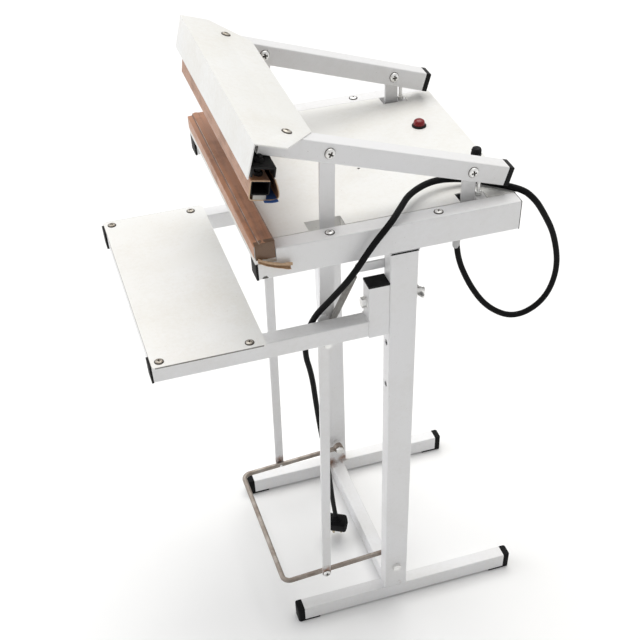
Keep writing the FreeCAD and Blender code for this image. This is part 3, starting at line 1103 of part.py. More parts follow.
# Plug at the free end of the cord, lying on the floor
plug_dir = route[-1] - route[-2]
plug_dir = plug_dir / plug_dir.Length
plug_turn = Rotation(Vector(0, 0, 1), plug_dir)
neck_long = number("plug_neck")
front_face = number("plug_neck + plug_body")
wide = number("plug_wide")
deep = number("plug_deep")
neck = Part.makeCone(number("cord_dia / 2 * 1.35"), number("plug_neck_radius"), neck_long)
grip = Part.makeBox(wide, deep, number("plug_body"), Vector(-wide / 2.0, -deep / 2.0, neck_long))
long_edges = [edge for edge in grip.Edges if abs(edge.tangentAt(0).z) > 0.5]
grip = grip.makeFillet(number("plug_corner"), long_edges)
plug_shape = neck.fuse(grip).removeSplitter()
plug_shape.Placement = Placement(route[-1], plug_turn)
plug = doc.addObject("Part::Feature", "Plug")
plug.Shape = plug_shape
keep(plug, "mains_plug")
pins_shape = None
for x, y in (("-pin_apart / 2", "-pin_front"), ("pin_apart / 2", "-pin_front"), ("0", "pin_earth")):
    foot = Vector(number(x), number(y), front_face)
    pin = Part.makeCylinder(number("pin_radius"), number("pin_long"), foot)
    pins_shape = pin if pins_shape is None else pins_shape.fuse(pin)
pins = doc.addObject("Part::Feature", "Pins")
pins.Shape = pins_shape
pins.Placement = Placement(route[-1], plug_turn)
keep(pins, "plug_pins")
print("plug lowest %.2f pins lowest %.2f" % (plug.Shape.BoundBox.ZMin, pins.Shape.BoundBox.ZMin))

for label, items in GROUPS.items():
    keep(together(*items), label)
doc.recompute()
faults = []
for item in doc.Objects:
    if "Invalid" in item.State or "Error" in item.State:
        faults.append("%s %s %s" % (item.Name, item.Label, item.State))
for item in PARTS:
    shape = item.Shape
    if shape.isNull() or not shape.isValid() or shape.Volume <= 0:
        faults.append("%s has no valid shape" % item.Label)
if faults:
    raise RuntimeError("; ".join(faults))
os.makedirs("parts", exist_ok=True)
for item in PARTS:
    item.Shape.exportStep("parts/%s.step" % item.Label)
print("%d parts" % len(PARTS))
for name in ("MID_Y", "PIVOT_Z", "LINK_Y", "LINK_Z", "TIE_Z", "LINK_LONG", "LINK_TURN", "TIE_TURN", "LAP_Y", "LAP_Z",
             "JAW_UNDER", "SPRING_LONG"):
    print(name, round(number(globals()[name]), 4))
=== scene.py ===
"""Foot-operated bag sealer: finishes, cloth, springs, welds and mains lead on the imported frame."""

from __future__ import annotations

import logging
import math
from dataclasses import dataclass, replace
from enum import Enum
from typing import Sequence

import bmesh
import bpy
from mathutils import Matrix, Vector, noise

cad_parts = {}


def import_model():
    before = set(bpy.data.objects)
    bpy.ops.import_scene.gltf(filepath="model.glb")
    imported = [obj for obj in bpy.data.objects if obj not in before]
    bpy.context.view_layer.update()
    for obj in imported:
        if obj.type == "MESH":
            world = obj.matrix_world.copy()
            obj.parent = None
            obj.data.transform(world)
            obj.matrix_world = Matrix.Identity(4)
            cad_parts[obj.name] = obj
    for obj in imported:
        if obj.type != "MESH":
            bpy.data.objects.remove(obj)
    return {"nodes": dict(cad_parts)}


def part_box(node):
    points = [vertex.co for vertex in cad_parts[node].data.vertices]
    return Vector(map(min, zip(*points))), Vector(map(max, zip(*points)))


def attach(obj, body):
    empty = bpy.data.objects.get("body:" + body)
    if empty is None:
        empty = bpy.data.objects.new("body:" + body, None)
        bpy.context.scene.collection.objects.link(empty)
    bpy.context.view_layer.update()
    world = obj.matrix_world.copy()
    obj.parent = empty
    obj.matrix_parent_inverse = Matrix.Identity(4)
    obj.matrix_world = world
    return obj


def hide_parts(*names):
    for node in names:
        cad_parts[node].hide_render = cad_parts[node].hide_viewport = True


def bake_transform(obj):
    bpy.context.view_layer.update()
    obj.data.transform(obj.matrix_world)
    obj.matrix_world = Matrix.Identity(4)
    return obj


LOG = logging.getLogger("sealer")
Point = tuple[float, float, float]
Colour = tuple[float, float, float]
Spot = tuple[float, float, float, float]
Profile = Sequence[tuple[float, float]]
Mesh = bpy.types.Mesh
Form = bmesh.types.BMesh
MM = 0.001
# Painted shade along an edge, where a plate meets the frame below.
EDGE_GAP_SHADE: Colour = (0.07, 0.065, 0.055)
PAINT_SPECK: Colour = (0.33, 0.3, 0.27)
SCUFF_MARK: Colour = (0.06, 0.055, 0.05)
RUST_PALE: Colour = (0.30, 0.12, 0.045)
RUST_DARK: Colour = (0.13, 0.06, 0.03)
CLOTH_THREAD: Colour = (0.42, 0.29, 0.2)
# Colour of the painted shade lines on the jaw's cloth.
SHADE_LINE_COLOUR: Colour = (0.03, 0.018, 0.012)
DUSTY_RED: Colour = (0.3, 0.03, 0.03)
FLOOR_SHADES: tuple[Colour, Colour] = ((0.93, 0.93, 0.93), (0.96, 0.96, 0.955))
WEAVE_PITCH = 0.0011
MERGE = 1e-6
FLAT_ANGLE = 1.0
CORNER_ANGLE = 40.0
RECESS_DEEP = 0.66
RECESS_ARM = 0.15
RECESS_TIP = 0.52
HEAD_RIM = 0.32
HEAD_ROUND = 2.4
# Width over which the painted edge shade fades in, in metres.
EDGE_SHADE_FADE = 0.0003


class Socket:
    """A node socket that takes part in Python arithmetic by adding Math nodes."""

    def __init__(self, tree: bpy.types.NodeTree, source: bpy.types.NodeSocket) -> None:
        """Wrap one output socket of a tree."""
        self.tree = tree
        self.source = source

    def _math(self, operation: str, first: "Socket | float", second: "Socket | float" = 0.0,
              clamp: bool = False) -> "Socket":
        """Add a Math node.

        Args:
            operation: The node's operation.
            first: Its first value.
            second: Its second value.
            clamp: Whether the result is kept from 0 to 1.

        Returns:
            The node's result.
        """
        node = self.tree.nodes.new("ShaderNodeMath")
        node.operation = operation
        node.use_clamp = clamp
        for index, value in enumerate((first, second)):
            if isinstance(value, Socket):
                self.tree.links.new(value.source, node.inputs[index])
            else:
                node.inputs[index].default_value = float(value)
        return Socket(self.tree, node.outputs[0])

    def __add__(self, other: "Socket | float") -> "Socket":
        """Sum."""
        return self._math("ADD", self, other)

    __radd__ = __add__

    def __sub__(self, other: "Socket | float") -> "Socket":
        """Difference."""
        return self._math("SUBTRACT", self, other)

    def __rsub__(self, other: "Socket | float") -> "Socket":
        """Reflected difference."""
        return self._math("SUBTRACT", other, self)

    def __mul__(self, other: "Socket | float") -> "Socket":
        """Product."""
        return self._math("MULTIPLY", self, other)

    __rmul__ = __mul__

    def __truediv__(self, other: "Socket | float") -> "Socket":
        """Quotient."""
        return self._math("DIVIDE", self, other)

    def __rtruediv__(self, other: "Socket | float") -> "Socket":
        """Reflected quotient."""
        return self._math("DIVIDE", other, self)

    def size(self) -> "Socket":
        """Absolute value."""
        return self._math("ABSOLUTE", self)

    def clamped(self) -> "Socket":
        """Keep from 0 to 1."""
        return self._math("ADD", self, 0.0, clamp=True)

    def larger(self, other: "Socket | float") -> "Socket":
        """The larger of two values."""
        return self._math("MAXIMUM", self, other)

    def over(self, level: float, soft: float) -> "Socket":
        """A mask that rises from 0 to 1 around a level, over a width of soft."""
        return ((self - (level - soft / 2.0)) / soft).clamped()

    def sine(self) -> "Socket":
        """Sine."""
        return self._math("SINE", self)


class Tree:
    """A node tree, with one short way to add a node to it."""

    def __init__(self, tree: bpy.types.NodeTree) -> None:
        """Work on a given tree."""
        self.tree = tree

    def node(self, kind: str, settings: dict[str, object] | None = None, output: str | int = 0,
             **values: object) -> Socket:
        """Add a node.

        Args:
            kind: The node's type.
            settings: Attributes set before its sockets; stops is a ramp's list of (place, colour).
            output: Name or index of the wanted output.
            values: Values or links for its sockets, by name with spaces as underscores.

        Returns:
            The wanted output.
        """
        made = self.tree.nodes.new(kind)
        for key, value in (settings or {}).items():
            if key == "stops":
                ramp = made.color_ramp
                while len(ramp.elements) < len(value):
                    ramp.elements.new(0.5)
                for element, (place, colour) in zip(ramp.elements, value):
                    element.position = place
                    element.color = (*colour, 1.0)
            else:
                setattr(made, key, value)
        for key, value in values.items():
            self._feed(made, key.replace("_", " "), value)
        return Socket(self.tree, made.outputs[output])

    def _feed(self, made: bpy.types.Node, key: str, value: object) -> None:
        """Set or link one socket of a node.

        Args:
            made: The node.
            key: The socket's name or index.
            value: A number, a vector, a colour or a Socket.
        """
        socket = made.inputs[int(key)] if key.isdigit() else made.inputs[key]
        if isinstance(value, Socket):
            self.tree.links.new(value.source, socket)
        elif isinstance(value, tuple) and len(value) == 3 and len(socket.default_value) == 4:
            socket.default_value = (*value, 1.0)
        else:
            socket.default_value = value


class Paintbox(Tree):
    """One material's node tree."""

    def __init__(self, name: str) -> None:
        """Start a material with a single shader.

        Args:
            name: The material's name.
        """
        self.material = bpy.data.materials.new(name)
        self.material.use_nodes = True
        super().__init__(self.material.node_tree)
        self.tree.nodes.clear()
        self.shader = self.tree.nodes.new("ShaderNodeBsdfPrincipled")
        output = self.tree.nodes.new("ShaderNodeOutputMaterial")
        self.tree.links.new(self.shader.outputs[0], output.inputs[0])
        self.where = self.node("ShaderNodeTexCoord", output="Object")

    def noise(self, scale: float, detail: float = 3.0, rough: float = 0.55,
              stretch: Point = (1.0, 1.0, 1.0), shift: Point = (0.0, 0.0, 0.0)) -> Socket:
        """A noise pattern on the object's own coordinates.

        Args:
            scale: Cells per metre.
            detail: Octaves.
            rough: Strength of the finer octaves.
            stretch: Scale along each axis.
            shift: Offset of the pattern.

        Returns:
            The pattern, from 0 to 1.
        """
        where = self.node("ShaderNodeMapping", Vector=self.where, Scale=stretch, Location=shift)
        return self.node("ShaderNodeTexNoise", Vector=where, Scale=scale, Detail=detail, Roughness=rough)

    def axis(self, name: str) -> Socket:
        """One coordinate of the object's own space, in metres."""
        return self.node("ShaderNodeSeparateXYZ", output=name, Vector=self.where)

    def blend(self, mask: Socket | float, low: Socket | Colour, high: Socket | Colour) -> Socket:
        """Mix two colours by a mask.

        Args:
            mask: Share of the second colour.
            low: First colour.
            high: Second colour.

        Returns:
            The mixed colour.
        """
        node = self.tree.nodes.new("ShaderNodeMix")
        node.data_type = "RGBA"
        factor, first, second = node.inputs[0], node.inputs[6], node.inputs[7]
        for socket, value in ((factor, mask), (first, low), (second, high)):
            if isinstance(value, Socket):
                self.tree.links.new(value.source, socket)
            elif isinstance(value, tuple):
                socket.default_value = (*value, 1.0)
            else:
                socket.default_value = value
        return Socket(self.tree, node.outputs[2])

    def spots(self, places: Sequence[tuple[float, float, float, float]], ragged: Socket) -> Socket | float:
        """Masks around some places on the object, with ragged edges.

        Args:
            places: Each place and its radius, in metres.
            ragged: A pattern from 0 to 1 that breaks up the edges.

        Returns:
            The mask, or 0 where there are no places.
        """
        mask: Socket | float = 0.0
        for x, y, z, radius in places:
            away = self.node("ShaderNodeVectorMath", {"operation": "DISTANCE"}, output="Value",
                             **{"0": self.where, "1": (x, y, z)})
            near = ((1.3 - away / radius) + (ragged - 0.5) * 1.6).clamped()
            mask = near if mask == 0.0 else mask.larger(near)
        return mask

    def bump(self, height: Socket, strength: float, distance: float) -> Socket:
        """Turn a height pattern into a normal."""
        return self.node("ShaderNodeBump", output="Normal", Height=height, Strength=strength,
                         Distance=distance)

    def finish(self, **values: object) -> bpy.types.Material:
        """Feed the shader and give the finished material.

        Args:
            values: Shader sockets by name with spaces as underscores.

        Returns:
            The material.
        """
        for key, value in values.items():
            self._feed(self.shader, key.replace("_", " "), value)
        return self.material


@dataclass(frozen=True)
class PaintedSteel:
    """Sprayed paint on steel, with dirt in patches, dark scuffs and rust by the welds."""

    name: str
    colour: Colour
    dirt_and_shade: Colour
    dirt_share: float
    scuffs: tuple[Spot, ...] = ()
    rust: tuple[Spot, ...] = ()
    stain: Colour = (0.74, 0.72, 0.65)
    stain_share: float = 0.0
    # Axis, way and limit beyond which a band of painted shade lies.
    edges: tuple[tuple[str, float, float], ...] = ()

    def make(self) -> bpy.types.Material:
        """Build the material.

        Returns:
            The material.
        """
        box = Paintbox(self.name)
        cloud = box.noise(scale=11.0, detail=4.0, rough=0.6)
        fine = box.noise(scale=160.0, detail=4.0, rough=0.65)
        specks = box.noise(scale=420.0, detail=2.0, rough=0.5, shift=(3.0, 1.0, 2.0))
        film = (cloud * 0.6 + fine * 0.4).over(level=0.56, soft=0.2) * self.dirt_share
        soak = box.noise(scale=9.0, detail=2.0, rough=0.45, stretch=(1.6, 0.7, 1.0),
                         shift=(0.3, 0.9, 0.1)).over(level=0.48, soft=0.3)
        colour = box.blend(soak * self.stain_share, self.colour, self.stain)
        colour = box.blend(film, colour, self.dirt_and_shade)
        # Painted shade: darker beyond each given edge, for the gap where the plate meets the frame below.
        for axis, way, limit in self.edges:
            gap_shade = ((box.axis(axis) * way - limit) / EDGE_SHADE_FADE).clamped()
            colour = box.blend(gap_shade * (0.6 + fine * 0.4), colour, EDGE_GAP_SHADE)
        colour = box.blend(specks.over(level=0.74, soft=0.03) * 0.35, colour, PAINT_SPECK)
        scuff = box.spots(self.scuffs, fine)
        rust = box.spots(self.rust, fine)
        if isinstance(scuff, Socket):
            colour = box.blend((scuff * (0.3 + fine * 1.1)).over(level=0.38, soft=0.12), colour, SCUFF_MARK)
        if isinstance(rust, Socket):
            tint = box.blend(specks.over(level=0.5, soft=0.3), RUST_PALE, RUST_DARK)
            colour = box.blend(rust * 0.85, colour, tint)
        peel = box.noise(scale=750.0, detail=1.0, rough=0.4)
        rough = 0.38 + film * 0.3 + fine * 0.08
        if isinstance(rust, Socket):
            rough = rough + rust * 0.3
        return box.finish(Base_Color=colour, Roughness=rough.clamped(),
                          Normal=box.bump(peel, strength=0.12, distance=0.0002), Coat_Weight=0.12,
                          Coat_Roughness=0.25)


@dataclass(frozen=True)
class Moulding:
    """Moulded rubber or plastic with a fine grain, a little dust and worn shine."""

    name: str
    colour: Colour
    dust: Colour
    roughness: float
    grain: float
    dust_share: float = 0.25
    sheen: float = 0.5

    def make(self) -> bpy.types.Material:
        """Build the material.

        Returns:
            The material.
        """
        box = Paintbox(self.name)
        cloud = box.noise(scale=24.0, detail=4.0, rough=0.6)
        grain = box.noise(self.grain, detail=3.0, rough=0.6)
        dust = (cloud * 0.55 + grain * 0.45).over(level=0.55, soft=0.24) * self.dust_share
        colour = box.blend(dust, self.colour, self.dust)
        rough = (self.roughness + dust * 0.35 + grain * 0.12).clamped()
        return box.finish(Base_Color=colour, Roughness=rough,
                          Normal=box.bump(grain, strength=0.35, distance=0.0002),
                          Specular_IOR_Level=self.sheen)


@dataclass(frozen=True)
class PlatedSteel:
    """Bare or plated metal with tarnish and fine lines of drawing or turning."""

    name: str
    colour: Colour
    tarnish: Colour
    tarnish_share: float
    roughness: float
    lines: Point = (1.0, 1.0, 1.0)
    metal: float = 1.0

    def make(self) -> bpy.types.Material:
        """Build the material.

        Returns:
            The material.
        """
        box = Paintbox(self.name)
        cloud = box.noise(scale=38.0, detail=4.0, rough=0.62)
        drawn = box.noise(scale=240.0, detail=3.0, rough=0.6, stretch=self.lines)
        old = (cloud * 0.65 + drawn * 0.35).over(level=0.53, soft=0.26) * self.tarnish_share
        colour = box.blend(old, self.colour, self.tarnish)
        metal = self.metal - old * 0.35
        rough = (self.roughness + old * 0.3 + drawn * 0.12).clamped()
        return box.finish(Base_Color=colour, Metallic=metal.clamped(), Roughness=rough,
                          Normal=box.bump(drawn, strength=0.15, distance=0.0001))


@dataclass(frozen=True)
class GlassCloth:
    """PTFE-coated glass cloth: a plain weave under a glossy brown skin, scorched in places."""

    name: str
    colour: Colour
    scorch: Colour
    pitch: float = WEAVE_PITCH
    # Places along Y and half-widths of dark lines of painted shade.
    shade_lines: Profile = ()

    def make(self) -> bpy.types.Material:
        """Build the material.

        Returns:
            The material.
        """
        box = Paintbox(self.name)
        turns = 2.0 * math.pi / self.pitch
        warp = (box.axis("X") * turns).sine()
        weft = ((box.axis("Y") + box.axis("Z")) * turns).sine()
        weave = warp * weft * 0.5 + 0.5
        cloud = box.noise(scale=30.0, detail=4.0, rough=0.6)
        streak = box.noise(scale=60.0, detail=3.0, rough=0.6, stretch=(0.2, 3.0, 3.0))
        burnt = (cloud * 0.6 + streak * 0.4).over(level=0.58, soft=0.2) * 0.75
        colour = box.blend(burnt, self.colour, self.scorch)
        colour = box.blend(weave * 0.22, colour, CLOTH_THREAD)
        # Painted shade: dark lines at the given places along Y.
        for place, half in self.shade_lines:
            line = 1.0 - ((box.axis("Y") - place).size() / half + (streak - 0.5) * 0.6).clamped()
            colour = box.blend(line * 0.8, colour, SHADE_LINE_COLOUR)
        rough = (0.32 + burnt * 0.2 + weave * 0.1).clamped()
        height = weave * 0.6 + cloud * 0.4
        return box.finish(Base_Color=colour, Roughness=rough,
                          Normal=box.bump(height, strength=0.35, distance=0.0003))


@dataclass(frozen=True)
class LampLens:
    """A dark red lens, lightly dusty."""

    name: str
    colour: Colour

    def make(self) -> bpy.types.Material:
        """Build the material.

        Returns:
            The material.
        """
        box = Paintbox(self.name)
        swirl = box.noise(scale=220.0, detail=3.0, rough=0.6)
        dust = swirl.over(level=0.6, soft=0.2) * 0.3
        colour = box.blend(dust, self.colour, DUSTY_RED)
        return box.finish(Base_Color=colour, Roughness=(0.12 + dust).clamped(), Coat_Weight=0.15,
                          Specular_IOR_Level=0.3, Normal=box.bump(swirl, strength=0.05, distance=0.0001))


class Slot(Enum):
    """The material slots of the part's record."""

    FRAME = "frame_paint"
    SHEET = "sheet_paint"
    RUBBER = "rubber"
    PLASTIC = "black_plastic"
    ZINC = "zinc_steel"
    BRONZE = "bronze_screw"
    BARE = "bare_steel"
    SPRING = "spring_steel"
    ALUMINIUM = "jaw_aluminium"
    CLOTH = "ptfe_brown"
    TAPE = "tape_blue"
    SILICONE = "silicone"
    CARRIER = "carrier_black"
    LENS = "lamp_red"
    RIBBON = "nickel_ribbon"
    CORE = "core_steel"
    COPPER = "copper"
    BOARD = "board_white"
    BRASS = "pin_brass"


RUST_PLACES: tuple[Spot, ...] = (
    (0.172, 0.074, 0.036, 0.011),
    (0.161, 0.052, 0.020, 0.012),
    (0.163, 0.078, 0.034, 0.010),
    (-0.160, 0.050, 0.034, 0.014),
    (-0.162, 0.078, 0.040, 0.010),
    (0.1515, -0.055, 0.082, 0.012),
    (-0.1515, -0.055, 0.084, 0.010),
    (0.160, -0.118, 0.716, 0.010),
)
SCUFF_PLACES: tuple[Spot, ...] = (
    (0.165, -0.1325, 0.742, 0.005),
    (0.161, -0.1325, 0.731, 0.004),
    (0.185, -0.124, 0.7085, 0.0045),
    (0.168, -0.1325, 0.7105, 0.004),
    (-0.168, -0.1325, 0.743, 0.006),
)
# Painted shade lines on the lower jaw's cloth: along the step of its top, and along its back edge by the
# table.
JAW_SHADE_LINES: Profile = ((-0.1290, 0.0011), (-0.1087, 0.0016))
TAN_TAPE = Moulding("tan_tape", (0.60, 0.42, 0.27), (0.36, 0.23, 0.13), 0.4, 260.0, 0.8)
FINISHES: dict[Slot, PaintedSteel | Moulding | PlatedSteel | GlassCloth | LampLens] = {
    Slot.FRAME: PaintedSteel("frame_enamel", (0.80, 0.80, 0.81), (0.62, 0.60, 0.56), 0.2, SCUFF_PLACES,
                             RUST_PLACES, stain_share=0.12),
    Slot.SHEET: PaintedSteel("sheet_enamel", (0.84, 0.84, 0.825), (0.69, 0.65, 0.57), 0.3, stain_share=0.24),
    Slot.RUBBER: Moulding("black_rubber", (0.003, 0.003, 0.0034), (0.035, 0.034, 0.032), 0.52, 900.0,
                          0.06, 0.1),
    Slot.PLASTIC: Moulding("black_moulding", (0.004, 0.004, 0.0045), (0.05, 0.048, 0.045), 0.48, 700.0,
                           0.08, 0.16),
    Slot.ZINC: PlatedSteel("zinc_plate", (0.84, 0.84, 0.83), (0.5, 0.48, 0.44), 0.5, 0.3),
    Slot.BRONZE: PlatedSteel("worn_zinc", (0.52, 0.49, 0.44), (0.17, 0.13, 0.09), 0.7, 0.32),
    Slot.BARE: PlatedSteel("bare_rod", (0.34, 0.31, 0.28), (0.16, 0.11, 0.08), 0.8, 0.36, (8.0, 0.4, 8.0)),
    Slot.SPRING: PlatedSteel("spring_wire", (0.44, 0.43, 0.41), (0.2, 0.17, 0.14), 0.6, 0.36),
    Slot.ALUMINIUM: PlatedSteel("extruded_aluminium", (0.72, 0.72, 0.71), (0.42, 0.4, 0.37), 0.45, 0.32,
                                (0.15, 3.0, 3.0)),
    Slot.CLOTH: GlassCloth("brown_glass_cloth", (0.42, 0.19, 0.097), (0.16, 0.07, 0.038)),
    Slot.TAPE: Moulding("blue_tape", (0.032, 0.105, 0.36), (0.16, 0.2, 0.3), 0.4, 500.0, 0.3),
    Slot.SILICONE: Moulding("grey_silicone", (0.42, 0.41, 0.38), (0.3, 0.28, 0.25), 0.5, 600.0),
    # The carrier's black; on the upper jaw's tube and studs it is painted shade.
    Slot.CARRIER: Moulding("black_enamel", (0.006, 0.006, 0.0065), (0.05, 0.045, 0.04), 0.5, 300.0,
                           0.15, 0.2),
    Slot.LENS: LampLens("red_lens", (0.2, 0.001, 0.004)),
    Slot.RIBBON: PlatedSteel("nickel_ribbon", (0.5, 0.46, 0.4), (0.2, 0.13, 0.09), 0.7, 0.3,
                             (0.1, 4.0, 4.0)),
    Slot.CORE: PlatedSteel("core_laminations", (0.2, 0.2, 0.21), (0.1, 0.07, 0.05), 0.6, 0.45,
                           (0.3, 0.3, 9.0), 0.7),
    Slot.COPPER: PlatedSteel("enamelled_copper", (0.5, 0.2, 0.09), (0.24, 0.09, 0.04), 0.5, 0.28,
                             (1.0, 1.0, 9.0)),
    Slot.BOARD: Moulding("terminal_board", (0.62, 0.61, 0.56), (0.42, 0.4, 0.35), 0.5, 600.0),
    Slot.BRASS: PlatedSteel("nickel_brass", (0.58, 0.5, 0.34), (0.3, 0.24, 0.14), 0.4, 0.25),
}


class Paints:
    """The finished materials, made once and shared."""

    def __init__(self) -> None:
        """Make every finish."""
        self._made = {slot: finish.make() for slot, finish in FINISHES.items()}

    def __getitem__(self, slot: Slot) -> bpy.types.Material:
        """The material of a slot."""
        return self._made[slot]

    def dress(self, nodes: dict[str, bpy.types.Object]) -> None:
        """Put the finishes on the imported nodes.

        Args:
            nodes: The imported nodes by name.
        """
        by_name = {slot.value: slot for slot in Slot}
        for name, node in nodes.items():
            for place in node.material_slots:
                key = place.material.name.split(".")[0] if place.material else ""
                if key in by_name:
                    place.material = self._made[by_name[key]]
                else:
                    LOG.warning("%s keeps %s", name, key)


@dataclass(frozen=True)
class Seat:
    """A frame of reference on the machine's middle plane, turned about the X axis."""

    y: float
    z: float
    turn: float

    def matrix(self) -> Matrix:
        """Its place and turn, in metres."""
        turned = Matrix.Rotation(math.radians(self.turn), 4, "X")
        return Matrix.Translation((0.0, self.y * MM, self.z * MM)) @ turned

    def at(self, x: float, y: float, z: float) -> Vector:
        """A point of this frame, from millimetres to metres in the machine's frame."""
        return self.matrix() @ Vector((x * MM, y * MM, z * MM))

    def along(self, x: float, y: float, z: float) -> Vector:
        """A direction of this frame in the machine's frame."""
        return (self.matrix().to_3x3() @ Vector((x, y, z))).normalized()


FLOOR = Seat(0.0, 0.0, 0.0)
ARM = Seat(165.5, 786.0, -16.8)
JAW = Seat(165.5, 786.0, -11.0)
TIE = Seat(-55.0, 76.074, -1.518)
SPRING = Seat(-35.49, 591.99, -27.59)
SIDES: tuple[tuple[str, float], ...] = (("right", 1.0), ("left", -1.0))
PACKED: dict[str, bpy.types.Object] = {}


def packed(name: str) -> bpy.types.Object:
    """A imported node's object by its name."""
    return PACKED[name]


def linked(name: str, data: bpy.types.ID) -> bpy.types.Object:
    """Add an object to the scene.

    Args:
        name: Its name.
        data: Its mesh, curve, light or camera.

    Returns:
        The object.
    """
    made = bpy.data.objects.new(name, data)
    bpy.context.scene.collection.objects.link(made)
    return made


def settled(holder: bpy.types.Object) -> Mesh:
    """Turn a helper into a plain mesh, and take the helper away.

    Args:
        holder: A curve, or a mesh with a modifier.

    Returns:
        The mesh.
    """
    bpy.context.view_layer.update()
    graph = bpy.context.evaluated_depsgraph_get()
    mesh = bpy.data.meshes.new_from_object(holder.evaluated_get(graph), depsgraph=graph)
    holder.modifiers.clear()
    bpy.data.objects.remove(holder)
    return mesh


def finished(name: str, mesh: Mesh, material: bpy.types.Material, body: str,
             replaces: Sequence[str] = (), smooth: float = 35.0) -> bpy.types.Object:
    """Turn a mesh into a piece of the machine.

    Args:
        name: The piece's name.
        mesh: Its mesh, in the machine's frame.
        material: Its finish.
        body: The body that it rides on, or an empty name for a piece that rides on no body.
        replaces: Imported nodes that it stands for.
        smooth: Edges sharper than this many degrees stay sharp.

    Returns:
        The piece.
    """
    mesh.name = name
    if not mesh.materials:
        mesh.materials.append(material)
    mesh.shade_smooth()
    mesh.set_sharp_from_angle(angle=math.radians(smooth))
    piece = linked(name, mesh)
    if body:
        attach(piece, body)
    if replaces:
        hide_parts(*replaces)
    LOG.info("%s on %s, %d faces", name, body or "two bodies", len(mesh.polygons))
    return piece


def as_mesh(form: Form, name: str, recalculate: bool = True) -> Mesh:
    """Close a bmesh and give its mesh.

    Args:
        form: The bmesh, which is freed.
        name: The mesh's name.
        recalculate: Whether to merge doubles and point the faces outwards.

    Returns:
        The mesh.
    """
    if recalculate:
        bmesh.ops.remove_doubles(form, verts=form.verts, dist=MERGE)
        bmesh.ops.recalc_face_normals(form, faces=form.faces)
    mesh = bpy.data.meshes.new(name)
    form.to_mesh(mesh)
    form.free()
    return mesh


def quads(form: Form, rows: Sequence[Sequence[bmesh.types.BMVert]], closed: bool = False) -> None:
    """Join rows of points by faces.

    Args:
        form: The bmesh that the points belong to.
        rows: Rows with as many points each.
        closed: Whether each row runs round to its first point.
    """
    for low, high in zip(rows, rows[1:]):
        count = len(low)
        for step in range(count if closed else count - 1):
            after = (step + 1) % count
            form.faces.new((low[step], low[after], high[after], high[step]))


def lathe(form: Form, profile: Profile, place: Matrix, steps: int = 32) -> None:
    """Add a turned form: a profile of radii and heights in millimetres, spun about its own Z.

    Args:
        form: The bmesh that it is added to.
        profile: Radius and height of each ring; a radius of 0 closes an end.
        place: From its own frame to the machine's.
        steps: Sides of a ring.
    """
    rings: list[list[bmesh.types.BMVert]] = []
    for radius, height in profile:
        if radius <= 0.0:
            rings.append([form.verts.new(place @ Vector((0.0, 0.0, height * MM)))])
            continue
        ring = []
        for step in range(steps):
            turn = 2.0 * math.pi * step / steps
            point = Vector((radius * math.cos(turn), radius * math.sin(turn), height))
            ring.append(form.verts.new(place @ (point * MM)))
        rings.append(ring)
    for low, high in zip(rings, rings[1:]):
        for step in range(steps):
            after = step + 1
            unique = list(dict.fromkeys((low[step % len(low)], low[after % len(low)],
                                         high[after % len(high)], high[step % len(high)])))
            if len(unique) > 2:
                form.faces.new(unique)


def facing(at: Vector, way: Vector) -> Matrix:
    """A place whose own Z points a given way."""
    return Matrix.Translation(at) @ way.to_track_quat("Z", "Y").to_matrix().to_4x4()


def rounded_block(form: Form, size: Point, place: Matrix, radius: float, steps: int = 3) -> None:
    """Add a block with rounded edges, its middle at a place.

    Args:
        form: The bmesh that it is added to.
        size: Its three sides in millimetres.
        place: From its own frame to the machine's.
        radius: Radius of its edges in millimetres.
        steps: Faces across a rounded edge.
    """
    made = bmesh.ops.create_cube(form, size=1.0)
    verts = made["verts"]
    for vert in verts:
        vert.co = Vector((vert.co.x * size[0] * MM, vert.co.y * size[1] * MM, vert.co.z * size[2] * MM))
    edges = list({edge for vert in verts for edge in vert.link_edges})
    cut = bmesh.ops.bevel(form, geom=edges, offset=radius * MM, segments=steps, profile=0.5, affect="EDGES")
    touched = {vert for face in cut["faces"] for vert in face.verts}
    for vert in touched:
        vert.co = place @ vert.co


def nurbs(name: str, points: Sequence[Vector], radius: float, section: int, along: int) -> bpy.types.Curve:
    """A round wire as a smooth curve, closed at both ends.

    Args:
        name: The curve's name.
        points: Control points in metres.
        radius: Its radius in millimetres.
        section: Roundness of its section.
        along: Smoothness along it.

    Returns:
        The curve.
    """
    line = bpy.data.curves.new(name, "CURVE")
    line.dimensions = "3D"
    line.bevel_depth = radius * MM
    line.bevel_resolution = section
    line.use_fill_caps = True
    spline = line.splines.new("NURBS")
    spline.points.add(len(points) - 1)
    for knot, point in zip(spline.points, points):
        knot.co = (*point, 1.0)
    spline.order_u = 3
    spline.use_endpoint_u = True
    spline.resolution_u = along
    return line


def swept(name: str, points: Sequence[Vector], radius: float) -> Mesh:
    """A round wire along a smooth line.

    Args:
        name: The mesh's name.
        points: Control points in metres.
        radius: Its radius in millimetres.

    Returns:
        The mesh, closed at both ends.
    """
    mesh = settled(linked(name, nurbs(name, points, radius, section=3, along=8)))
    mesh.materials.clear()
    return mesh


def thickened(mesh: Mesh, thick: float, offset: float = 0.0) -> Mesh:
    """Give a sheet its thickness.

    Args:
        mesh: The sheet.
        thick: Its thickness in millimetres.
        offset: 0 to grow it to both sides alike, 1 to grow it outwards.

    Returns:
        The closed sheet.
    """
    holder = linked(mesh.name, mesh)
    wall = holder.modifiers.new("Wall", "SOLIDIFY")
    wall.thickness = thick * MM
    wall.offset = offset
    return settled(holder)


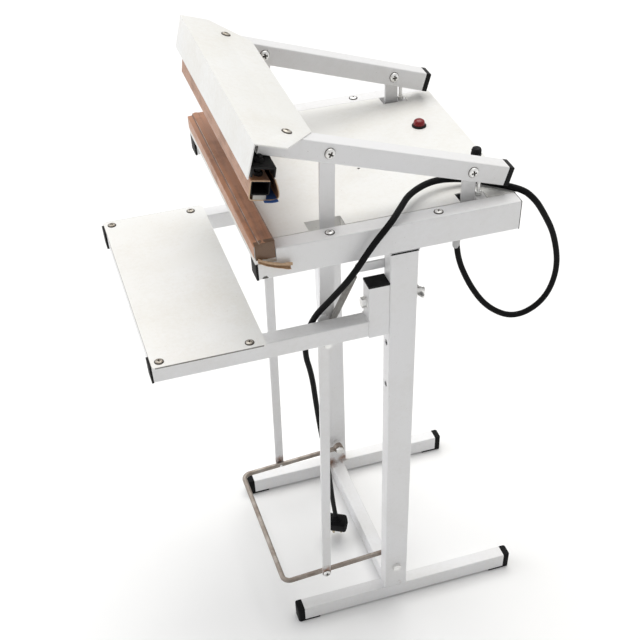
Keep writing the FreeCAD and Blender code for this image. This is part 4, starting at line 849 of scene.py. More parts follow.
def softened(node: str, name: str, paints: Paints, slot: Slot, body: str, radius: float,
             steps: int = 3) -> bpy.types.Object:
    """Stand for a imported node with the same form, its sharp edges rounded.

    Args:
        node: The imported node.
        name: The piece's name.
        paints: The finishes.
        slot: The finish that it takes.
        body: The body that it rides on.
        radius: Radius of the edges in millimetres.
        steps: Faces across a rounded edge.

    Returns:
        The piece.
    """
    form = bmesh.new()
    form.from_mesh(packed(node).data)
    bmesh.ops.remove_doubles(form, verts=form.verts, dist=MERGE)
    bmesh.ops.dissolve_limit(form, angle_limit=math.radians(FLAT_ANGLE), verts=form.verts, edges=form.edges)
    corner = math.radians(CORNER_ANGLE)
    sharp = [edge for edge in form.edges if len(edge.link_faces) == 2 and edge.calc_face_angle(0.0) > corner]
    bmesh.ops.bevel(form, geom=sharp, offset=radius * MM, segments=steps, profile=0.5, affect="EDGES",
                    clamp_overlap=True)
    return finished(name, as_mesh(form, name, recalculate=False), paints[slot], body, (node,))


class Sprout(Tree):
    """A Geometry Nodes tree with named inputs."""

    def __init__(self, name: str, inputs: dict[str, str]) -> None:
        """Start a tree.

        Args:
            name: The tree's name.
            inputs: Socket type of each named input.
        """
        group = bpy.data.node_groups.new(name, "GeometryNodeTree")
        super().__init__(group)
        group.interface.new_socket("Geometry", in_out="INPUT", socket_type="NodeSocketGeometry")
        for label, kind in inputs.items():
            group.interface.new_socket(label, in_out="INPUT", socket_type=kind)
        group.interface.new_socket("Material", in_out="INPUT", socket_type="NodeSocketMaterial")
        group.interface.new_socket("Geometry", in_out="OUTPUT", socket_type="NodeSocketGeometry")
        self.entry = group.nodes.new("NodeGroupInput")
        self.exit = group.nodes.new("NodeGroupOutput")

    def given(self, label: str) -> Socket:
        """One of the named inputs."""
        return Socket(self.tree, self.entry.outputs[label])

    def close(self, geometry: Socket) -> None:
        """End the tree in Realize Instances and Set Material.

        Args:
            geometry: The geometry that the tree gives.
        """
        real = self.node("GeometryNodeRealizeInstances", Geometry=geometry)
        painted = self.node("GeometryNodeSetMaterial", Geometry=real, Material=self.given("Material"))
        self.tree.links.new(painted.source, self.exit.inputs[0])

    def grow(self, base: Mesh, values: dict[str, object], material: bpy.types.Material) -> Mesh:
        """Run the tree on a mesh.

        Args:
            base: The mesh that the tree starts from.
            values: Values of the named inputs.
            material: The finish of the result.

        Returns:
            The result as a plain mesh.
        """
        holder = linked(base.name, base)
        modifier = holder.modifiers.new("Grow", "NODES")
        modifier.node_group = self.tree
        wanted = {**values, "Material": material}
        for item in self.tree.interface.items_tree:
            if item.item_type == "SOCKET" and item.in_out == "INPUT" and item.name in wanted:
                modifier[item.identifier] = wanted[item.name]
        return settled(holder)


def coil_tree() -> Sprout:
    """The tree of a close-wound coil: turns of round wire rising along Z.

    Returns:
        The tree.
    """
    tree = Sprout("Wound coil", dict.fromkeys(("Turns", "Radius", "Wire", "Height"), "NodeSocketFloat"))
    radius = tree.given("Radius")
    helix = tree.node("GeometryNodeCurveSpiral", Resolution=20, Rotations=tree.given("Turns"),
                      Start_Radius=radius, End_Radius=radius, Height=tree.given("Height"))
    section = tree.node("GeometryNodeCurvePrimitiveCircle", {"mode": "RADIUS"}, Resolution=8,
                        Radius=tree.given("Wire"))
    wire = tree.node("GeometryNodeCurveToMesh", Curve=helix, Profile_Curve=section, Fill_Caps=True)
    tree.close(wire)
    return tree


def bead_tree() -> Sprout:
    """The tree of a weld: overlapping ripples of random size along a line.

    Returns:
        The tree.
    """
    tree = Sprout("Weld bead", {"Pitch": "NodeSocketFloat", "Size": "NodeSocketFloat",
                                "Seed": "NodeSocketInt"})
    line = tree.node("GeometryNodeMeshToCurve", Mesh=tree.given("Geometry"))
    spaced = tree.node("GeometryNodeResampleCurve", {"mode": "LENGTH"}, Curve=line,
                       Length=tree.given("Pitch"))
    blob = tree.node("GeometryNodeMeshIcoSphere", output="Mesh", Radius=tree.given("Size"), Subdivisions=2)
    scale = tree.node("FunctionNodeRandomValue", {"data_type": "FLOAT_VECTOR"}, Min=(0.8, 0.8, 0.75),
                      Max=(1.15, 1.15, 1.1), Seed=tree.given("Seed"))
    ripples = tree.node("GeometryNodeInstanceOnPoints", Points=spaced, Instance=blob, Scale=scale)
    tree.close(ripples)
    return tree


def stamp_tree() -> Sprout:
    """The tree that puts one template on every point, facing its way and turned at random.

    Returns:
        The tree.
    """
    tree = Sprout("Stamped pieces", {"Template": "NodeSocketObject", "Spin": "NodeSocketFloat",
                                     "Seed": "NodeSocketInt"})
    template = tree.node("GeometryNodeObjectInfo", output="Geometry", Object=tree.given("Template"),
                         As_Instance=True)
    way = tree.node("GeometryNodeInputNamedAttribute", {"data_type": "FLOAT_VECTOR"}, output="Attribute",
                    Name="facing")
    turned = tree.node("FunctionNodeAlignRotationToVector", {"axis": "Z"}, Vector=way)
    spin = tree.node("FunctionNodeRandomValue", {"data_type": "FLOAT"}, output=1, Seed=tree.given("Seed"),
                     **{"2": 0.0, "3": tree.given("Spin")})
    quarter = tree.node("FunctionNodeAxisAngleToRotation", Axis=(0.0, 0.0, 1.0), Angle=spin)
    both = tree.node("FunctionNodeRotateRotation", {"rotation_space": "LOCAL"}, Rotation=turned,
                     Rotate_By=quarter)
    placed = tree.node("GeometryNodeInstanceOnPoints", Points=tree.given("Geometry"), Instance=template,
                       Rotation=both)
    tree.close(placed)
    return tree


class Stamper:
    """Puts turned or bent templates on points by Geometry Nodes."""

    def __init__(self) -> None:
        """Build the trees once."""
        self.stamps = stamp_tree()
        self.beads = bead_tree()
        self.coils = coil_tree()

    def stamp(self, template: Mesh, places: Sequence[tuple[Vector, Vector]],
              material: bpy.types.Material, spin: float = 6.28, seed: int = 7) -> Mesh:
        """Put a template on some places.

        Args:
            template: The mesh to repeat, in metres, its own Z the way it faces.
            places: Point and way of each copy.
            material: Its finish.
            spin: Most random turn about its own Z.
            seed: Seed of that turn.

        Returns:
            All the copies as one mesh.
        """
        pattern = linked("template", template)
        cloud = bpy.data.meshes.new("stamped")
        cloud.from_pydata([tuple(point) for point, _ in places], [], [])
        ways = cloud.attributes.new("facing", "FLOAT_VECTOR", "POINT")
        for index, (_, way) in enumerate(places):
            ways.data[index].vector = way
        mesh = self.stamps.grow(cloud, {"Template": pattern, "Spin": spin, "Seed": seed}, material)
        bpy.data.objects.remove(pattern)
        return mesh

    def weld(self, lines: Sequence[Sequence[Vector]], material: bpy.types.Material, size: float = 1.5,
             seed: int = 3) -> Mesh:
        """Lay weld beads along lines.

        Args:
            lines: Corner points of each bead.
            material: Its finish.
            size: Radius of a ripple in millimetres.
            seed: Seed of the ripples' sizes.

        Returns:
            All the beads as one mesh.
        """
        path = bpy.data.meshes.new("bead")
        verts: list[Point] = []
        edges: list[tuple[int, int]] = []
        for line in lines:
            start = len(verts)
            verts.extend(tuple(point) for point in line)
            edges.extend((start + step, start + step + 1) for step in range(len(line) - 1))
        path.from_pydata(verts, edges, [])
        return self.beads.grow(path, {"Pitch": size * 0.9 * MM, "Size": size * MM, "Seed": seed}, material)


@dataclass
class Studio:
    """The pale floor, the light and the camera."""

    floor_half: float = 14.0
    sky: float = 0.43
    mirrored_sky: float = 0.6
    lamps: tuple[tuple[str, float, float, Point, Colour], ...] = (
        ("overhead", 2.15, 55.0, (-8.0, -20.0, 0.0), (1.0, 0.99, 0.965)),
        ("front_left", 1.075, 60.0, (72.0, 0.0, -30.0), (0.93, 0.95, 1.0)),
    )
    camera_at: Point = (1.2903, -0.3699, 1.4399)
    azimuth: float = 71.7
    elevation: float = 49.7
    roll: float = -0.8
    focal: float = 57.03
    sensor: float = 36.0
    clip: tuple[float, float] = (0.05, 60.0)
    shift: tuple[float, float] = (-0.0619, 0.4094)

    def build(self) -> None:
        """Make the floor, the lights and the camera."""
        scene = bpy.context.scene
        scene.view_settings.view_transform = "Standard"
        self._floor()
        self._sky()
        self._lamps()
        self._camera()

    def _floor(self) -> None:
        """Lay the floor."""
        half = self.floor_half
        mesh = bpy.data.meshes.new("studio_floor")
        corners = [(-half, -half, 0.0), (half, -half, 0.0), (half, half, 0.0), (-half, half, 0.0)]
        mesh.from_pydata(corners, [], [(0, 1, 2, 3)])
        box = Paintbox("studio_floor")
        grain = box.noise(scale=6.0, detail=3.0)
        shade = box.blend(grain, *FLOOR_SHADES)
        mesh.materials.append(box.finish(Base_Color=shade, Roughness=0.9, Specular_IOR_Level=0.1))
        linked("studio_floor", mesh)

    def _sky(self) -> None:
        """Light the scene evenly and show white behind it."""
        world = bpy.data.worlds.new("studio")
        world.use_nodes = True
        bpy.context.scene.world = world
        tree = Tree(world.node_tree)
        background = next(node for node in world.node_tree.nodes if node.type == "BACKGROUND")
        background.inputs["Color"].default_value = (1.0, 1.0, 1.0, 1.0)
        rays = tree.tree.nodes.new("ShaderNodeLightPath")
        seen, mirrored, through = (Socket(tree.tree, rays.outputs[f"Is {kind} Ray"])
                                   for kind in ("Camera", "Glossy", "Transmission"))
        direct = (seen + mirrored * self.mirrored_sky + through).clamped()
        strength = self.sky + direct * (1.0 - self.sky)
        tree.tree.links.new(strength.source, background.inputs["Strength"])

    def _lamps(self) -> None:
        """Hang a soft overhead light and a weaker one from the front left."""
        for name, power, spread, turn, tint in self.lamps:
            light = bpy.data.lights.new(name, "SUN")
            light.color = tint
            light.energy = power
            light.angle = math.radians(spread)
            linked(name, light).rotation_euler = tuple(math.radians(value) for value in turn)

    def _camera(self) -> None:
        """Set the camera."""
        azimuth, elevation, roll = map(math.radians, (self.azimuth, self.elevation, self.roll))
        level = math.cos(elevation)
        back = Vector((math.sin(azimuth) * level, -math.cos(azimuth) * level, math.sin(elevation)))
        right = Vector((math.cos(azimuth), math.sin(azimuth), 0.0))
        up = back.cross(right)
        across = right * math.cos(roll) + up * math.sin(roll)
        tall = up * math.cos(roll) - right * math.sin(roll)
        lens = bpy.data.cameras.new("camera")
        lens.lens = self.focal
        lens.sensor_width = self.sensor
        lens.shift_x, lens.shift_y = self.shift
        lens.clip_start, lens.clip_end = self.clip
        camera = linked("camera", lens)
        turn = Matrix((across, tall, back)).transposed()
        camera.matrix_world = Matrix.Translation(self.camera_at) @ turn.to_4x4()
        bpy.context.scene.camera = camera


@dataclass
class Assembly:
    """A sub-assembly of the machine, made with the shared finishes and stamps."""

    paints: Paints
    stamper: Stamper

    def piece(self, name: str, form: Form | Mesh, slot: Slot, body: str, replaces: Sequence[str] = (),
              smooth: float = 35.0) -> bpy.types.Object:
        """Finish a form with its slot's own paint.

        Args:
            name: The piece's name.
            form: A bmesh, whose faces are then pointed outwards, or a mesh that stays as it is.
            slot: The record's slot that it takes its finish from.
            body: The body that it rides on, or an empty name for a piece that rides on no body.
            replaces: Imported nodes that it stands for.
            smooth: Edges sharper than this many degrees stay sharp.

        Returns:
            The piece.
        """
        mesh = as_mesh(form, name) if isinstance(form, Form) else form
        return finished(name, mesh, self.paints[slot], body, replaces, smooth)


@dataclass
class MainsLead(Assembly):
    """The mains cord from its gland under the table, over the right rail and down to its plug."""

    radius: float = 4.25
    length: float = 1.433
    relief_long: float = 22.0
    relief_collar: tuple[float, float] = (6.6, 4.0)
    relief_taper: float = 0.7
    ring_wide: float = 5.7
    relief_rings: int = 6
    neck_rings: int = 4
    neck_pitch: float = 3.2
    neck_flare: float = 0.8
    grip: Point = (37.0, 26.0, 31.6)
    grip_middle: float = 30.0
    rib: Point = (1.6, 16.0, 1.7)
    rib_out: float = 18.6
    ribs: tuple[float, ...] = (21.0, 25.2, 29.4, 33.6, 37.8)
    route: tuple[Point, ...] = (
        (131.0, 161.5, 686.0), (131.0, 161.5, 655.0), (137.0, 183.0, 603.0), (145.0, 213.0, 561.0),
        (155.0, 255.0, 541.0), (162.0, 296.0, 566.0), (165.0, 309.0, 618.0), (166.0, 294.0, 676.0),
        (168.0, 270.0, 716.0), (169.0, 254.0, 738.0), (163.0, 236.0, 752.8), (129.0, 196.0, 752.5),
        (118.0, 166.0, 757.0), (119.0, 126.0, 762.0),
        (140.0, 86.5, 762.0), (170.0, 62.5, 762.0), (197.0, 40.5, 761.0),
        (198.0, 14.5, 734.0), (195.0, -11.5, 694.0), (176.0, -32.5, 655.0), (153.0, -59.5, 610.0),
        (139.0, -68.5, 552.0), (126.0, -54.5, 494.0), (112.0, -46.5, 422.0), (95.0, -35.5, 342.0),
        (75.0, -22.5, 262.0), (52.0, -11.5, 185.0), (28.0, -1.5, 115.0), (14.0, 6.5, 66.0),
    )

    def build(self) -> None:
        """Make the cord, its strain relief and its plug."""
        points = [Vector(point) * MM for point in self.route]
        line = nurbs("mains_lead", points, self.radius, section=6, along=12)
        line.materials.append(self.paints[Slot.RUBBER])
        cord = linked("mains_lead", line)
        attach(cord, "root")
        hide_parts("mains_cord")
        relief = self._relief(points[0])
        plug = self._plug(points[-1], (points[-1] - points[-2]).normalized())

    def _relief(self, at: Vector) -> bpy.types.Object:
        """The pale grooved sleeve where the cord leaves its gland.

        Args:
            at: The cord's exit.

        Returns:
            The sleeve.
        """
        form = bmesh.new()
        collar, tall = self.relief_collar
        profile = [(self.radius, 0.0), (collar, 0.0), (collar, tall)]
        for ring in range(self.relief_rings):
            top = tall + 1.0 + ring * (self.relief_long - 2.0 * tall) / self.relief_rings
            wide = self.ring_wide - self.relief_taper * ring / self.relief_rings
            profile += [(wide, top), (wide, top + 2.4), (wide - 0.4, top + 2.8), (wide - 0.4, top + 3.3)]
        profile += [(self.radius + 0.5, self.relief_long - 1.0), (self.radius, self.relief_long)]
        lathe(form, profile, facing(at, Vector((0.0, 0.0, -1.0))), steps=28)
        pale = Moulding("pale_sleeve", (0.5, 0.5, 0.5), (0.3, 0.29, 0.27), 0.45, 500.0).make()
        return finished("lead_strain_relief", as_mesh(form, "relief"), pale, "root")

    def _plug(self, at: Vector, way: Vector) -> bpy.types.Object:
        """The moulded plug: ribbed neck, and a squared grip with ribs.

        Args:
            at: End of the cord.
            way: The way that the pins point.

        Returns:
            The plug.
        """
        form = bmesh.new()
        place = facing(at, way)
        profile = [(0.0, -1.0), (self.radius + 0.9, -1.0)]
        for ring in range(self.neck_rings):
            low = ring * self.neck_pitch
            wide = self.ring_wide + ring * self.neck_flare
            profile += [(wide, low), (wide, low + 2.0), (wide - 1.0, low + 2.3), (wide - 1.0, low + 2.9)]
        profile += [(9.0, 13.6), (9.4, 15.0), (0.0, 15.0)]
        lathe(form, profile, place, steps=36)
        middle = place @ Matrix.Translation((0.0, 0.0, self.grip_middle * MM))
        rounded_block(form, self.grip, middle, radius=5.0, steps=5)
        for side in (-1.0, 1.0):
            for along in self.ribs:
                rib = place @ Matrix.Translation(Vector((side * self.rib_out, 0.0, along)) * MM)
                rounded_block(form, self.rib, rib, radius=0.6, steps=2)
        return self.piece("lead_plug", form, Slot.RUBBER, "root", ("mains_plug",))


def skin(section: Profile, seat: Seat, reach: tuple[float, float], ripple: float, seed: float,
         thick: float = 0.25, steps: int = 150) -> tuple[Mesh, float]:
    """A thin sheet that follows one section from end to end, with soft ripples.

    Args:
        section: Points (y, z) of the seat, in millimetres, in order along the sheet.
        seat: The frame of reference of the section.
        reach: Its two ends along X in millimetres.
        ripple: Height of the ripples in millimetres.
        seed: Where the ripple pattern starts.
        thick: Its thickness in millimetres.
        steps: Faces along X.

    Returns:
        The sheet's mesh and the length of its section in metres.
    """
    form = bmesh.new()
    rows: list[list[bmesh.types.BMVert]] = []
    long = sum(math.dist(first, second) for first, second in zip(section, section[1:])) * MM
    for step in range(steps + 1):
        x = reach[0] + (reach[1] - reach[0]) * step / steps
        row = []
        for index, (y, z) in enumerate(section):
            before = section[max(index - 1, 0)]
            after = section[min(index + 1, len(section) - 1)]
            span = math.dist(before, after) or 1.0
            normal = (-(after[1] - before[1]) / span, (after[0] - before[0]) / span)
            wave = noise.noise(Vector((x * 0.035 + seed, y * 0.09, z * 0.09)))
            wave += 0.45 * noise.noise(Vector((x * 0.13 - seed, y * 0.22, z * 0.22)))
            lift = ripple * (0.5 + 0.5 * max(-1.0, min(1.0, wave * 1.6)))
            row.append(form.verts.new(seat.at(x, y + normal[0] * lift, z + normal[1] * lift)))
        rows.append(row)
    quads(form, rows)
    return thickened(as_mesh(form, "skin", recalculate=False), thick, 1.0), long


def pan_head(radius: float, tall: float, rings: int = 16, sides: int = 48) -> Mesh:
    """A domed screw head with a cross recess, its own Z the way it faces.

    Args:
        radius: Its radius in millimetres.
        tall: Its height in millimetres.
        rings: Rings of points from the middle to the rim.
        sides: Points of a ring.

    Returns:
        The mesh.
    """
    deep, arm, tip = tall * RECESS_DEEP, radius * RECESS_ARM, radius * RECESS_TIP
    form = bmesh.new()
    middle = form.verts.new((0.0, 0.0, (tall - deep) * MM))
    rows: list[list[bmesh.types.BMVert]] = []
    for ring in range(1, rings + 1):
        share = ring / rings
        out = radius * share
        dome = tall * (HEAD_RIM + (1.0 - HEAD_RIM) * math.sqrt(max(0.0, 1.0 - share ** HEAD_ROUND)))
        row = []
        for side in range(sides):
            turn = 2.0 * math.pi * side / sides
            x, y = out * math.cos(turn), out * math.sin(turn)
            sunk = deep if min(abs(x), abs(y)) < arm and max(abs(x), abs(y)) < tip else 0.0
            row.append(form.verts.new((x * MM, y * MM, (dome - sunk) * MM)))
        rows.append(row)
    rows.append([form.verts.new((vert.co.x, vert.co.y, -0.05 * MM)) for vert in rows[-1]])
    for side in range(sides):
        form.faces.new((middle, rows[0][(side + 1) % sides], rows[0][side]))
    quads(form, rows, closed=True)
    form.faces.new(list(reversed(rows[-1])))
    return as_mesh(form, "pan_head")


def screw_grime(radius: float, tall: float, cup: float) -> Mesh:
    """The dark parts of a screw: painted shade on the floor of its cross recess, and a dark ring where it
    seats, part cup washer and part painted contact shadow.

    Args:
        radius: Radius of the head in millimetres.
        tall: Height of the head in millimetres.
        cup: Outer radius of the ring in millimetres.

    Returns:
        The mesh, its own Z the way the screw faces.
    """
    form = bmesh.new()
    floor = Matrix.Translation((0.0, 0.0, (tall * 0.34 + 0.2) * MM))
    rounded_block(form, (radius, radius * 0.27, 0.36), floor, radius=0.08, steps=1)
    rounded_block(form, (radius * 0.27, radius, 0.4), floor, radius=0.08, steps=1)
    lathe(form, [(radius - 0.4, 0.0), (cup, 0.0), (cup - 0.1, 0.5), (cup - 0.5, 0.9), (radius + 0.1, 0.6),
                 (radius - 0.4, 0.5)], Matrix.Identity(4), 36)
    return as_mesh(form, "grime")


@dataclass
class Screws(Assembly):
    """Every screw head that shows, each with its cross recess, painted shade on the recess floor and a dark
    ring of painted contact shadow, partly a cup washer under the small heads.
    """

    shelf_x: float = 178.0
    shelf_y: tuple[float, float] = (-275.5, -152.5)
    shelf_top: float = 613.0
    rail_x: float = 172.5
    rail_y: tuple[float, float] = (-33.5, 114.5)
    rail_top: float = 748.0
    table_screw: Point = (31.0, 75.5, 748.0)
    head: tuple[float, float] = (5.2, 2.5)
    cup: float = 6.5
    # Outer radius of the dark ring under a small head: part cup washer, part painted contact shadow.
    arm_head: tuple[float, float] = (6.6, 3.9)
    arm_faces: tuple[float, float] = (160.0, 135.0)
    cover_x: float = 147.5
    cover_y: float = -255.0
    cover_top: float = 14.0
    tie: tuple[float, float] = (139.9, 153.5)
    arm_start: float = 134.0
    arm_long: float = 27.0
    link_at: float = -200.0
    shanks: tuple[float, float] = (2.5, 3.0)
    stop: tuple[float, float] = (147.5, 180.5)
    stud: Profile = ((0.0, 746.5), (2.5, 746.5), (2.5, 767.0), (2.1, 767.6), (0.0, 767.6))
    nut: Profile = ((0.0, 748.0), (5.0, 748.0), (5.0, 751.6), (4.6, 752.0), (0.0, 752.0))
    # Width of the painted contact shadow ring beyond a bolt head.
    seat: float = 0.5

    def build(self) -> None:
        """Stamp the heads, body by body."""
        # Near-black finish of the recess floors and the rings: painted shade and painted contact shadow.
        self.dirt_and_shade = PlatedSteel("screw_grime", (0.09, 0.08, 0.07), (0.03, 0.022, 0.016), 0.7, 0.45).make()
        up = Vector((0.0, 0.0, 1.0))
        shelf, rails = ([(Vector((side * x, y, top)) * MM, up) for _, side in SIDES for y in places]
                        for x, places, top in ((self.shelf_x, self.shelf_y, self.shelf_top),
                                               (self.rail_x, self.rail_y, self.rail_top)))
        shelf.append((Vector(self.table_screw) * MM, up))
        cover = [(ARM.at(side * self.cover_x, self.cover_y, self.cover_top), ARM.along(0.0, 0.0, 1.0))
                 for _, side in SIDES]
        self._heads("frame_screw", shelf, "root", Slot.BRONZE, ("dome_screws",), 7)
        self._heads("rail_screw", rails, "root", Slot.ZINC, (), 14)
        self._heads("cover_screw", cover, "press_arms", Slot.BRONZE, ("cover_screws",), 12)
        self._through_bolts()

    def _heads(self, name: str, places: list[tuple[Vector, Vector]], body: str, slot: Slot,
               nodes: tuple[str, ...], seed: int) -> None:
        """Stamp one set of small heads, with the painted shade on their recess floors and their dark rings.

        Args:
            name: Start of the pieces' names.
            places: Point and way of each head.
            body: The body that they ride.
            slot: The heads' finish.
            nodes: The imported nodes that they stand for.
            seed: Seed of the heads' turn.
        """
        heads = self.stamper.stamp(pan_head(*self.head), places, self.paints[slot], seed=seed)
        self.piece(name + "_heads", heads, slot, body, nodes)
        # Painted shade on the recess floors, and dark rings that are part cup washers, part painted contact
        # shadow.
        rings = self.stamper.stamp(screw_grime(*self.head, self.cup), places, self.dirt_and_shade, seed=seed)
        finished(name + "_cups", rings, self.dirt_and_shade, body)

    def _through_bolts(self) -> None:
        """Put the arms' and the pedal's bolts in, with their shanks, and the studs that stop the arms."""
        zinc = self.paints[Slot.ZINC]
        bodies = {"pivot": ("root", "arm_fixings"), "link": ("press_arms", "link_bolts"),
                  "pedal": ("pedal", "pedal_screws")}
        sets: dict[str, list[tuple[Vector, Vector]]] = {name: [] for name in bodies}
        for _, side in SIDES:
            for face, way in zip(self.arm_faces, (side, -side)):
                sets["pivot"].append((ARM.at(side * face, 0.0, 0.0), Vector((way, 0.0, 0.0))))
                sets["link"].append((ARM.at(side * face, self.link_at, 0.0), Vector((way, 0.0, 0.0))))
            sets["pedal"].append((TIE.at(side * self.tie[1], 0.0, 0.0), Vector((side, 0.0, 0.0))))
        for seed, (name, (body, node)) in enumerate(bodies.items(), 5):
            form = bmesh.new()
            form.from_mesh(self.stamper.stamp(pan_head(*self.arm_head), sets[name], zinc, seed=seed))
            for _, side in SIDES:
                form.from_mesh(self._shank(name, side))
            bolts = as_mesh(form, name, recalculate=False)
            self.piece(name + "_shank_bolts", bolts, Slot.ZINC, body, (node,))
            # Painted contact shadow round each bolt head, and painted shade on its recess floor.
            grime = screw_grime(*self.arm_head, self.arm_head[0] + self.seat)
            rings = self.stamper.stamp(grime, sets[name], self.dirt_and_shade, seed=seed)
            finished(name + "_bolt_grime", rings, self.dirt_and_shade, body)

    def _shank(self, name: str, side: float) -> Mesh:
        """Turn the shank of a bolt, and beside a pivot bolt the stud that stops the arm.

        Args:
            name: Which set of bolts it belongs to.
            side: 1 for the right side, -1 for the left one.

        Returns:
            The mesh.
        """
        form = bmesh.new()
        if name == "pedal":
            inner, outer = self.tie
            start, long, radius = TIE.at(side * inner, 0.0, 0.0), outer - inner, self.shanks[0]
        else:
            along = self.link_at if name == "link" else 0.0
            start, long, radius = ARM.at(side * self.arm_start, along, 0.0), self.arm_long, self.shanks[1]
        profile = [(0.0, 0.0), (radius, 0.0), (radius, long), (0.0, long)]
        lathe(form, profile, facing(start, Vector((side, 0.0, 0.0))), steps=24)
        if name == "pivot":
            foot = Matrix.Translation(Vector((side * self.stop[0], self.stop[1], 0.0)) * MM)
            lathe(form, self.stud, foot, steps=20)
            lathe(form, self.nut, foot, steps=6)
        return as_mesh(form, "shank")


@dataclass
class Welds(Assembly):
    """The weld beads of the frame, painted over."""

    outer: float = 185.0
    inner: float = 160.0
    upright: tuple[float, float] = (44.5, 84.5)
    joints: tuple[float, float] = (33.2, 707.8)
    crossbar: tuple[float, float] = (52.0, 77.0)
    crossbar_rise: tuple[float, float] = (5.0, 33.0)
    clamp_front: float = 14.5
    shelf: tuple[float, float] = (586.0, 611.0)

    def build(self) -> None:
        """Lay the beads of the stand."""
        lines: list[list[Point]] = []
        inner, outer, clamp = self.inner, self.outer, self.clamp_front
        front, back = self.upright
        bar_front, bar_back = self.crossbar
        low, high = self.shelf
        for z in self.joints:
            lines += [[(inner, front, z), (outer, front, z)], [(inner, back, z), (outer, back, z)],
                      [(inner, front, z), (inner, back, z)]]
        foot, head = self.crossbar_rise
        lines.append([(inner, bar_front, foot), (inner, bar_front, head), (inner, bar_back, head),
                      (inner, bar_back, foot)])
        lines += [[(x, clamp, low + 2.0), (x, clamp, high - 2.0)] for x in (inner, outer)]
        lines.append([(inner, clamp, high), (outer, clamp, high)])
        metres = [[Vector((side * x, y, z)) * MM for x, y, z in line] for _, side in SIDES for line in lines]
        beads = self.stamper.weld(metres, self.paints[Slot.FRAME])
        self.piece("frame_weld_beads", beads, Slot.FRAME, "root")


@dataclass
class ReturnSprings(Assembly):
    """The two coil springs that lift the arms, with their end loops."""

    x: float = 155.0
    long: float = 99.3
    neck: float = 14.0
    radius: float = 4.0
    wire: float = 0.78
    loop: float = 5.0
    pitch: float = 1.68

    def build(self) -> None:
        """Make both springs and both hooks."""
        packed("spring_anchors").material_slots[0].material = self.paints[Slot.FRAME]
        for name, side in SIDES:
            self._coils(name, side)
            self._hook(name, side)

    def _loop(self, side: float, top: bool) -> list[Vector]:
        """Points of an end loop, from the coils round the pin.

        Args:
            side: 1 on the right, -1 on the left.
            top: Whether it is the upper one.

        Returns:
            The points in the machine's frame.
        """
        middle = self.long if top else 0.0
        sign = -1.0 if top else 1.0
        coil = middle + sign * self.neck
        x = side * self.x
        bend = self.loop * 1.06
        points = [(x + self.radius * 0.9, 0.0, coil + sign * 0.4), (x + self.radius * 0.7, 0.0, coil),
                  (x, 0.0, coil - sign * 1.2), (x, 0.0, middle + sign * (self.loop + 2.2))]
        for step in range(9):
            turn = math.radians(75.0 - step * 41.0)
            points.append((x, bend * math.cos(turn), middle + sign * bend * math.sin(turn)))
        return [SPRING.at(*point) for point in points]

    def _coils(self, name: str, side: float) -> None:
        """Wind one spring and its upper loop, between the anchor and its hook.

        Args:
            name: right or left.
            side: 1 on the right, -1 on the left.
        """
        height = self.long - 2.0 * self.neck
        values = {"Turns": height / self.pitch, "Radius": self.radius * MM, "Wire": self.wire * MM,
                  "Height": height * MM}
        mesh = self.stamper.coils.grow(bpy.data.meshes.new("coils"), values, self.paints[Slot.SPRING])
        mesh.transform(SPRING.matrix() @ Matrix.Translation((side * self.x * MM, 0.0, self.neck * MM)))
        form = bmesh.new()
        form.from_mesh(mesh)
        form.from_mesh(swept("loop", self._loop(side, True), self.wire))
        spring = self.piece(name + "_spring_coils", as_mesh(form, "spring", recalculate=False), Slot.SPRING,
                            "", (name + "_return_spring",), smooth=60.0)
        top, low = (tuple(SPRING.at(side * self.x, 0.0, along))
                    for along in (self.long - self.neck, self.neck))
        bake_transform(spring)

    def _hook(self, name: str, side: float) -> None:
        """Bend the lower hook round its bolt.

        Args:
            name: right or left.
            side: 1 on the right, -1 on the left.
        """
        self.piece(name + "_spring_loop", swept("hook", self._loop(side, False), self.wire), Slot.SPRING,
                   name + "_hook", (name + "_spring_hook",), smooth=60.0)


def shifted(profile: Profile, y: float, z: float) -> list[tuple[float, float]]:
    """A profile's points, counted from a given point."""
    return [(y + away, z + rise) for away, rise in profile]


